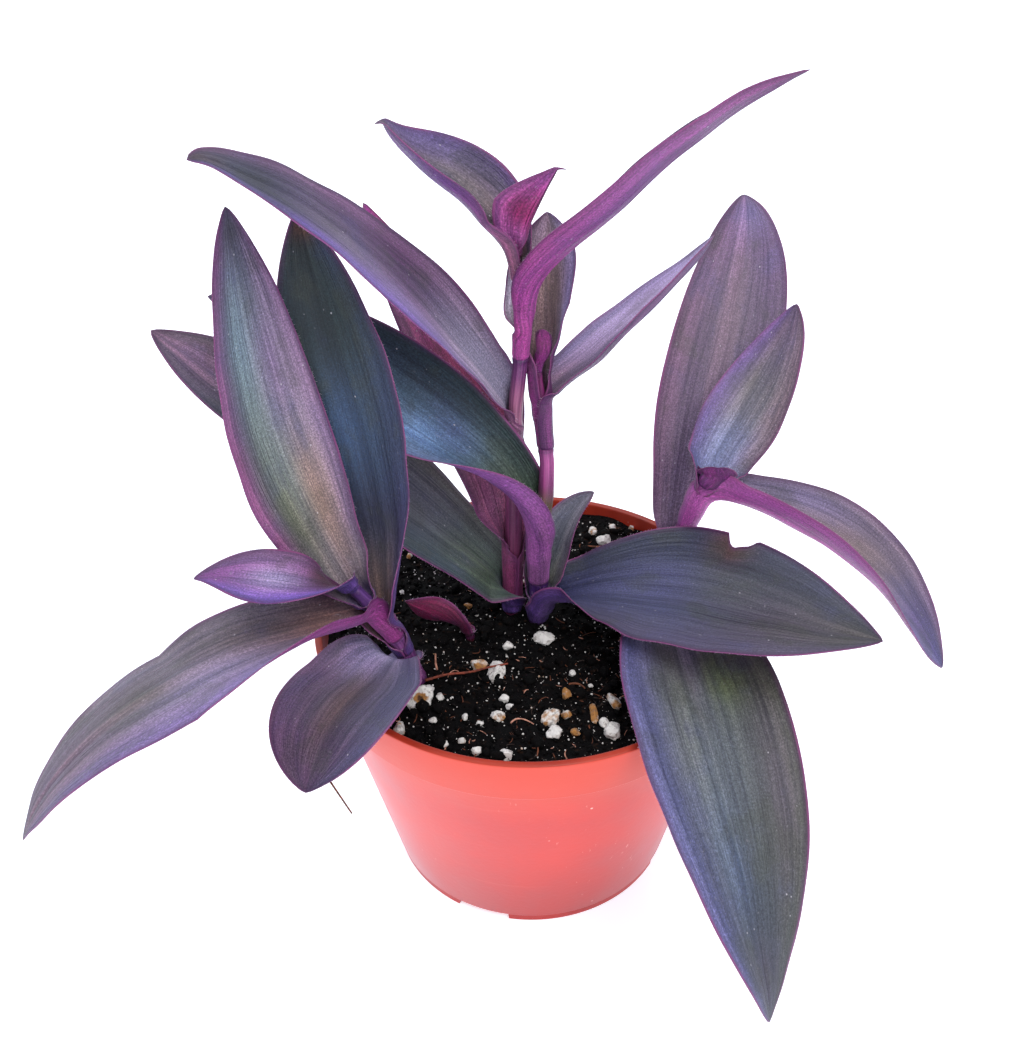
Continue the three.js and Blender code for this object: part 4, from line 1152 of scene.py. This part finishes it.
def stem_place(name, distance):
    """A place on the solid stem and the stem's direction there."""
    points, lengths = COURSES[name]
    held = min(max(distance, 0), lengths[-1])
    index = min(max(int(np.searchsorted(lengths, held)), 2), len(lengths) - 2)
    forward = unit(points[index + 1] - points[index - 2])
    return between(held, lengths, points) + forward * (distance - held), forward


def stem_radius(name, distance):
    """The radius of a solid stem."""
    share = min(max(distance / COURSES[name][1][-1], 0), 1)
    low, high = STEMS[name]["radius"]
    return low + (high - low) * share


def girth(name, distance):
    """The visible radius of a stem."""
    places, radii = zip(*STEMS[name]["girth"])
    return float(np.interp(distance, places, radii))


def make_stem(name, index):
    """A stem that swells and darkens at each leaf."""
    joints = [leaf["at"] for leaf in LEAVES[name]]
    end = min(COURSES[name][1][-1], STEMS[name]["girth"][-1][0])
    places = np.linspace(-STEM_DEPTH, end, int(end + STEM_DEPTH) * 2)
    radii = []
    for distance in places:
        swell = max(0.22 * math.exp(-((distance - joint + 0.6) / 0.7) ** 2) for joint in joints)
        waist = max(0.1 * math.exp(-((distance - joint - 3) / 2.5) ** 2) for joint in joints)
        radii.append(max(0.1, girth(name, distance) + swell - waist))
    centres = [seen_place(name, distance)[0] for distance in places]
    stem = build("visible_stem_" + name, *tube(centres, radii, STEM_SIDES), STEM_SKIN)
    around = np.tile(np.arange(STEM_SIDES) / STEM_SIDES, len(places))
    up = np.repeat(places, STEM_SIDES)
    lay_map(stem, "size", np.stack([np.abs(around - 0.5) * 2 * 0.013 + index * 0.3, up / 1000], 1))
    stops, tones = zip(*STEMS[name]["tones"])
    tint = between(up, stops, [colour(tone) for tone in tones])
    for joint in joints:
        ring = np.exp(-((up - joint + 0.5) / 0.5) ** 2)[:, None]
        tint = blend(tint, colour("#3c1a48"), 0.6 * ring)
    paint(stem, tint)
    finish_piece(stem, "stem_" + name, "stem")


# Leaves


def whole_leaf(leaf, stem, name):
    """A leaf with all its values: its own, the usual ones, and those that follow from its stem and sheath."""
    leaf = {**LEAF_DEFAULTS, "tube": leaf["sheath"], **leaf, "stem": stem, "name": name}
    clear = (stem_radius(stem, leaf["at"]) + SHEATH_GAP) / math.cos(math.pi / SOLID_STEM_SIDES)
    leaf["radius"] = clear + SHEATH_HALF + leaf["loose"]
    leaf["base"] = leaf["radius"] * math.radians(leaf["mouth"])
    leaf["slot"] = "young_leaf" if leaf["length"] < YOUNG_LENGTH else "leaf"
    leaf.setdefault("lips", [leaf["base"] * 0.55] * 2)
    leaf.setdefault("opens", [leaf["open"]] * 2)
    leaf.setdefault("curve", leaf["bend"])
    seen = girth(stem, leaf["at"] + leaf["tube"]) + SHEATH_HUG + leaf["swell"]
    rim = min(leaf["radius"] + leaf["room"], seen)
    leaf.setdefault("turns", [min(MOUTH_TURN, math.degrees(lip / rim)) for lip in leaf["lips"]])
    return leaf


def all_leaves():
    """Every leaf of every stem, named by its stem and its number on it."""
    for stem, leaves in LEAVES.items():
        for number, leaf in enumerate(leaves, 1):
            ending = f"_{number}" if len(leaves) > 1 else ""
            yield whole_leaf(leaf, stem, f"leaf_{stem}{ending}")


def direction(leaf, t):
    """The blade's direction and its upper face's at share t."""
    bearing, slope, roll = (math.radians(along(leaf[key], t)) for key in ("way", "rise", "roll"))
    level = np.array([math.cos(bearing), math.sin(bearing), 0])
    up = np.array([0, 0, 1.0])
    forward = level * math.cos(slope) + up * math.sin(slope)
    upward = up * math.cos(slope) - level * math.sin(slope)
    return forward, upward * math.cos(roll) + np.cross(forward, upward) * math.sin(roll)


def outward_from(leaf, ahead):
    """The direction from the stem to the leaf's rib, square to the stem."""
    bearing = math.radians(leaf["way"][0])
    start = np.array([math.cos(bearing), math.sin(bearing), 0])
    return unit(start - ahead * start.dot(ahead))


def blade_width(leaf, t, side):
    """Twice the width of one side of the blade, 0 = left and 1 = right, at share t."""
    full = leaf["width"] * leaf["halves"][side]
    if t < leaf["widest"]:
        grown = math.sin(math.pi / 2 * t / leaf["widest"]) ** leaf["spread"][side]
        return leaf["base"] + (full - leaf["base"]) * grown
    past = (t - leaf["widest"]) / (1 - leaf["widest"])
    power, root = leaf["taper"]
    return TIP_WIDTH + (full - TIP_WIDTH) * max(0, 1 - past**power) ** root


def blade_wrap(leaf, t):
    """Degrees that the blade's section turns through at share t."""
    base, middle, tip = leaf["wrap"]
    inner = base + (middle - base) * min(max((t - 0.15) / 0.35, 0), 1)
    return inner if t < 0.5 else middle + (tip - middle) * (2 * t - 1)


def half_section(width, turn, fold):
    """One side of a cross-section, from the rib to the margin: offsets outward and towards the upper face."""
    spread = blend(2, 0.07, fold)
    place = (np.arange(LEAF_COLUMNS) + 0.5) / LEAF_COLUMNS / 2
    angle = math.radians(turn) * np.tanh(place / spread) / math.tanh(0.5 / spread)
    across = np.concatenate([[0], np.cumsum(np.cos(angle))]) * width / LEAF_COLUMNS
    inward = np.concatenate([[0], np.cumsum(np.sin(angle))]) * width / LEAF_COLUMNS
    return across[::2], inward[::2]


def section(widths, turns, fold):
    """A whole cross-section from the left margin to the right one."""
    left, left_in = half_section(widths[0], turns[0], fold)
    right, right_in = half_section(widths[1], turns[1], fold)
    return np.concatenate([-left[:0:-1], right]), np.concatenate([left_in[:0:-1], right_in])


def rib_course(leaf, start, base_ahead, bend):
    """Points along the midrib, from the mouth of the sheath to the tip."""
    points = [start]
    for step in range(COURSE_STEPS):
        middle = (step + 0.5) / COURSE_STEPS
        ahead = unit(blend(base_ahead, direction(leaf, middle)[0], ease(middle / bend)))
        points.append(points[-1] + ahead * leaf["length"] / COURSE_STEPS)
    return np.array(points)


class Grid:
    """Rows of points over a leaf's middle surface, each with its share of the length and its width."""

    def __init__(self, leaf):
        self.rows, self.shares, self.widths = [], [], []
        back = np.abs(np.linspace(-1, 1, LEAF_COLUMNS + 1)) ** 1.6
        self.back = back * np.repeat(leaf["sweep"], (LEAF_COLUMNS // 2, LEAF_COLUMNS // 2 + 1))

    def add(self, rib, ahead, face, sides, turns, fold, swept, share):
        """Adds the row that crosses the rib at one place."""
        across, inward = section(sides, turns, fold)
        side = np.cross(ahead, face)
        drawn_back = np.outer(self.back * swept, ahead)
        self.rows.append(rib + np.outer(across, side) + np.outer(inward, face) - drawn_back)
        self.shares.append(share)
        self.widths.append(sum(sides))


def grow_sheath(leaf, grid):
    """Adds the rows of the sheath; gives the rib's place, direction and face at its mouth."""
    low, tall = leaf["low"], leaf["tube"]
    widest = leaf["radius"] + leaf["room"]
    for height in np.linspace(-low, tall, 6 + int(tall + low)):
        centre, ahead = seen_place(leaf["stem"], leaf["at"] + height)
        outward = outward_from(leaf, ahead)
        share = (height + low) / (tall + low)
        opened = ease((share - leaf["closed"]) / (1 - leaf["closed"]))
        near = girth(leaf["stem"], leaf["at"] + height) + SHEATH_HUG - 0.2 * (1 - ease((height + low) / 0.8))
        swell = max(0, min(widest - near, leaf["swell"]))
        hug = near + swell * ease((share - 0.2) / 0.8)
        sides = [blend(hug * math.radians(CLOSED_TURN), lip, opened) for lip in leaf["lips"]]
        turns = [blend(CLOSED_TURN, turn, opened) for turn in leaf["turns"]]
        share_past = (height - tall) / leaf["length"]
        grid.add(centre + outward * hug, ahead, -outward, sides, turns, 0, opened, share_past)
    return centre + outward * hug, ahead, -outward


def grow_blade(leaf, grid, rib, base_ahead, base_face):
    """Adds the rows from the mouth of the sheath on; gives the place of the tip."""
    seen = rib_course(leaf, rib, base_ahead, leaf["curve"])
    centre, ahead = stem_place(leaf["stem"], leaf["at"] + leaf["sheath"])
    solid = rib_course(leaf, centre + outward_from(leaf, ahead) * leaf["radius"], ahead, leaf["bend"])
    course = blend(seen, solid, ease(np.linspace(0, 1, COURSE_STEPS + 1) / leaf["join"])[:, None])
    aheads = unit(np.gradient(course, axis=0))
    hook = np.array(leaf["hook"])
    every = max(1, round(ROW_SPACING * COURSE_STEPS / leaf["length"]))
    for step in range(1, COURSE_STEPS):
        t = step / COURSE_STEPS
        if step % every and t < FINE_START:
            continue
        face = blend(base_face, direction(leaf, t)[1], ease(t / leaf["bend"]))
        face = unit(face - aheads[step] * face.dot(aheads[step]))
        curl = blade_wrap(leaf, t) / 2
        turns = [blend(turn, curl, ease(t / share)) for turn, share in zip(leaf["turns"], leaf["opens"])]
        flare = 1 - ease(t / leaf["flare"])
        sides = [blade_width(leaf, t, side) / 2 + (lip - leaf["base"] / 2) * flare
                 for side, lip in enumerate(leaf["lips"])]
        place = course[step] + hook * max(0, (t - HOOK_START) / (1 - HOOK_START)) ** 2
        fold = leaf["fold"] * ease(t / leaf["open"])
        grid.add(place, aheads[step], face, sides, turns, fold, 1 - ease(t / leaf["reach"]), t)
    return course[-1] + hook


def relief(leaf, index, rows, shares):
    """The middle surface with small life-like movements: midrib groove, wavy margins, unevenness, pleats."""
    u = np.linspace(-1, 1, LEAF_COLUMNS + 1)[None, :]
    v = shares[:, None]
    length = leaf["length"] * v
    phase = index * 1.7
    groove = -0.28 * np.exp(-(u / 0.09) ** 2)
    right = np.sin(length / 4.6 + phase) * 0.6 + np.sin(length / 2.3 + phase * 2 + 1) * 0.3
    left = np.sin(length / 5.1 + phase * 3) * 0.6 + np.sin(length / 2.7 + phase) * 0.3
    margin = np.where(u > 0, right, left) * np.abs(u) ** 4 * 0.25
    uneven = soft_noise(rows.reshape(-1, 3), 11.0, index).reshape(rows.shape[:2]) * 0.45
    pleats = 0.07 * np.sin(u * 21 + phase) * (1 - u**4)
    on_blade = ease(v / 0.2) * ease((1 - v) / 0.08) * min(1.0, leaf["width"] / 24)
    return rows + grid_normals(rows) * ((groove + margin + uneven + pleats) * on_blade)[..., None]


def grid_normals(rows):
    """The direction of the upper face at each point."""
    return -unit(np.cross(np.gradient(rows, axis=0), np.gradient(rows, axis=1)))


def spotted(base, spots, u, v):
    """Lays soft spots of other colours over a face."""
    for across, along_it, wide, long, tone, strength in spots:
        share = np.exp(-((u - across) / wide) ** 2 - ((v - along_it) / long) ** 2) * strength
        base = blend(base, colour(tone), share)
    return base


def leaf_tints(leaf, shares):
    """The colours of the upper and the lower face at each point."""
    u = np.linspace(-1, 1, LEAF_COLUMNS + 1)[None, :, None]
    v = np.clip(shares, 0, 1)[:, None, None]
    base, middle, tip = (colour(name) for name in leaf["upper"])
    upper = blend(blend(base, middle, ease(v / 0.4)), tip, ease((v - 0.5) / 0.45))
    for tone, sign in zip(leaf["sides"], (-1, 1)):
        share = ease((u * sign - 0.25) / 0.7) * 0.8 * ease((v - 0.02) / 0.2)
        upper = blend(upper, colour(tone), share)
    upper = spotted(upper, leaf["spots"], u, v)
    low, high = (colour(name) for name in leaf["under"])
    under = spotted(blend(low, high, ease(v / 0.7)) + 0 * u, leaf["under_spots"], u, v)
    upper = blend(upper, low, 0.35 * (1 - ease(v / 0.03)))
    light = LEAF_LIGHT * leaf["light"]
    return [np.minimum(face * light, 0.9).reshape(-1, 3) for face in (upper, under)]


def make_fringe(leaf, index, rows, shares):
    """Fine pale hairs along both margins, longest on the sheath."""
    heap = Heap()
    random = np.random.default_rng(100 + index)
    start = leaf["tube"] * (leaf["closed"] + 0.1 - 1) / leaf["length"]
    for margin, inner in ((rows[:, -1], rows[:, -2]), (rows[:, 0], rows[:, 1])):
        outward = unit(margin - inner)
        course = distances(margin)
        place = np.interp(start, shares, course)
        while place < course[-1] - 0.5:
            place += random.exponential(0.55) + 0.1
            root = between(place, course, margin)
            out = between(place, course, outward)
            on_sheath = np.interp(place, course, shares) < 0.04
            size = (0.22 + 0.4 * random.random() ** 2) * (2 if on_sheath else 1)
            tip = root + unit(out + random.normal(size=3) * 0.45) * size
            bent = (root + tip) / 2 + random.normal(size=3) * 0.06
            heap.add(*tube([root - out * 0.06, bent, tip], [0.026, 0.02, 0.008], 3), 0)
    fringe = heap.build("fringe_" + leaf["name"], HAIR)
    finish_piece(fringe, None, leaf["slot"])


def leaf_faces(rows):
    """Faces of a leaf with that many rows: its two layers, its margins, its tip and its mouth."""
    columns = LEAF_COLUMNS + 1
    layer = rows * columns + 1
    last = (rows - 1) * columns
    faces = []
    for low in range(0, last, columns):
        high = low + columns
        for column in range(LEAF_COLUMNS):
            a, b = low + column, high + column
            faces.append((a + 1, b + 1, b, a))
            faces.append((b + layer, b + 1 + layer, a + 1 + layer, a + layer))
        faces.append((high, high + layer, low + layer, low))
        a, b = low + LEAF_COLUMNS, high + LEAF_COLUMNS
        faces.append((a + layer, b + layer, b, a))
    for column in range(LEAF_COLUMNS):
        a = last + column
        faces.append((a + 1, layer - 1, a))
        faces.append((2 * layer - 1, a + 1 + layer, a + layer))
        faces.append((column + layer, column + 1 + layer, column + 1, column))
    faces.append((layer - 1, 2 * layer - 1, last + layer, last))
    faces.append((2 * layer - 2, 2 * layer - 1, layer - 1, layer - 2))
    return faces


def leaf_points(leaf, rows, shares, tip):
    """Points of the upper layer and its tip, then of the lower one; thickest at the rib."""
    normals = grid_normals(rows)
    u = np.linspace(-1, 1, LEAF_COLUMNS + 1)[None, :]
    half = MARGIN_HALF + (BLADE_HALF - MARGIN_HALF) * (1 - np.abs(u) ** 3) * np.ones((len(rows), 1))
    half = half * (0.5 + 0.5 * ease((1 - shares[:, None]) / 0.1)) * min(1.0, 0.55 + leaf["width"] / 50)
    upper = (rows + normals * half[..., None]).reshape(-1, 3)
    lower = (rows - normals * half[..., None]).reshape(-1, 3)
    return np.concatenate([upper, [tip], lower, [tip - normals[-1, LEAF_COLUMNS // 2] * 0.06]])


def dress_leaf(blade, leaf, index, shares, widths):
    """Lays the maps, marks and colours of both layers on a leaf."""
    across = np.tile(np.linspace(0, 1, LEAF_COLUMNS + 1), len(shares))
    lengths = np.repeat(shares, LEAF_COLUMNS + 1)
    spread = np.repeat(widths, LEAF_COLUMNS + 1)

    def doubled(values, at_tip):
        layer = np.concatenate([values, [at_tip]])
        return np.concatenate([layer, layer])

    lay_map(blade, "blade", doubled(np.stack([across, lengths], 1), (0.5, 1)))
    size = np.stack([(across - 0.5) * spread / 100, lengths * leaf["length"] / 100], 1)
    lay_map(blade, "size", doubled(size, (0, leaf["length"] / 100)))
    mark(blade, "edge", doubled((0.5 - np.abs(across - 0.5)) * spread, 0))
    mark(blade, "seed", np.full(len(blade.data.vertices), index + 1.0))
    upper, under = leaf_tints(leaf, shares)
    paint(blade, np.concatenate([upper, upper[-1:], under, under[-1:]]))


def make_leaf(leaf, index):
    """One leaf with its sheath, and the fringe of hairs on its margins."""
    grid = Grid(leaf)
    tip = grow_blade(leaf, grid, *grow_sheath(leaf, grid))
    shares = np.array(grid.shares)
    rows = torn(leaf, relief(leaf, index, np.array(grid.rows), shares), shares)
    points = leaf_points(leaf, rows, shares, tip)
    blade = build("visible_" + leaf["name"], points, leaf_faces(len(rows)), LEAF_SKIN)
    dress_leaf(blade, leaf, index, shares, grid.widths)
    finish_piece(blade, leaf["name"], leaf["slot"])
    make_fringe(leaf, index, rows, shares)


def torn(leaf, rows, shares):
    """Draws in the left margin of a leaf where it is torn."""
    if not leaf["torn"]:
        return rows
    u = np.linspace(-1, 1, LEAF_COLUMNS + 1)
    middle = rows[:, LEAF_COLUMNS // 2]
    depth = np.interp(shares, *zip(*leaf["torn"]), left=0, right=0)
    pull = depth[:, None] * ease((-u[None, :] - 0.4) / 0.6)
    return blend(rows, middle[:, None], pull[..., None])


# Stage


def make_stage():
    """A plain white ground, bright enough that only a pale shadow shows under the pot."""
    s = Shader("white_floor", 0.9, Emission_Color=(0.86, 0.93, 1.0, 1), Emission_Strength=0.6)
    s.base(s.mix(s.noise(s.place(), 6.0), "#eef5fb", "#f2f7fc"))
    points = [(-STAGE_HALF, -STAGE_HALF, 0), (STAGE_HALF, -STAGE_HALF, 0), (STAGE_HALF, STAGE_HALF, 0),
              (-STAGE_HALF, STAGE_HALF, 0)]
    build("floor", points, [(0, 1, 2, 3)], s.material)


def add_light(name, kind, direction, place=(0, 0, 0), **settings):
    """A light that shines from the direction given towards the plant."""
    data = bpy.data.lights.new(name, kind)
    for key, value in settings.items():
        setattr(data, key, value)
    light = bpy.data.objects.new(name, data)
    light.location = place
    light.rotation_euler = Vector(direction).to_track_quat("Z", "Y").to_euler()
    bpy.context.scene.collection.objects.link(light)


def make_lights():
    """Even light like an overcast sky through large windows, and a soft lamp at the left."""
    add_light("front", "SUN", (0.35, -0.6, 1.0), energy=1.7, angle=math.radians(35), color=(1.0, 0.99, 0.98))
    add_light("back", "SUN", (-0.35, 0.5, 1.0), energy=1.0, angle=math.radians(45), color=(0.93, 0.96, 1.0))
    add_light("left", "AREA", (-0.7, 0.1, 0.8), (-0.7, 0.1, 0.9), energy=2.0, size=0.3,
              color=(0.9, 0.94, 1.0))
    world = bpy.data.worlds.new("studio")
    world.use_nodes = True
    sky = world.node_tree.nodes["Background"].inputs
    sky["Color"].default_value = (0.93, 0.96, 1.0, 1)
    sky["Strength"].default_value = 0.65
    bpy.context.scene.world = world


def make_camera():
    """Looks down from the front, at the slope and tilt of the picture."""
    slope, roll = math.radians(CAMERA_ELEVATION), math.radians(CAMERA_ROLL)
    level, rising = Vector((1, 0, 0)), Vector((0, math.sin(slope), math.cos(slope)))
    right = level * math.cos(roll) + rising * math.sin(roll)
    up = rising * math.cos(roll) - level * math.sin(roll)
    back = right.cross(up)
    turn = Matrix((right, up, back)).transposed().to_4x4()
    data = bpy.data.cameras.new("camera")
    data.lens = CAMERA_LENS
    data.sensor_width = 36
    data.clip_start = 0.01
    camera = bpy.data.objects.new("camera", data)
    camera.matrix_world = Matrix.Translation(Vector(CAMERA_PLACE) / 1000) @ turn
    bpy.context.scene.collection.objects.link(camera)
    bpy.context.scene.camera = camera


bpy.context.scene.view_settings.view_transform = "Standard"
make_camera()
make_lights()
make_stage()
make_pot()
make_soil()
make_crumbs()
make_grains()
make_scraps()
make_twig()
for number, stem_name in enumerate(STEMS):
    make_stem(stem_name, number)
for number, one_leaf in enumerate(all_leaves()):
    make_leaf(one_leaf, number)
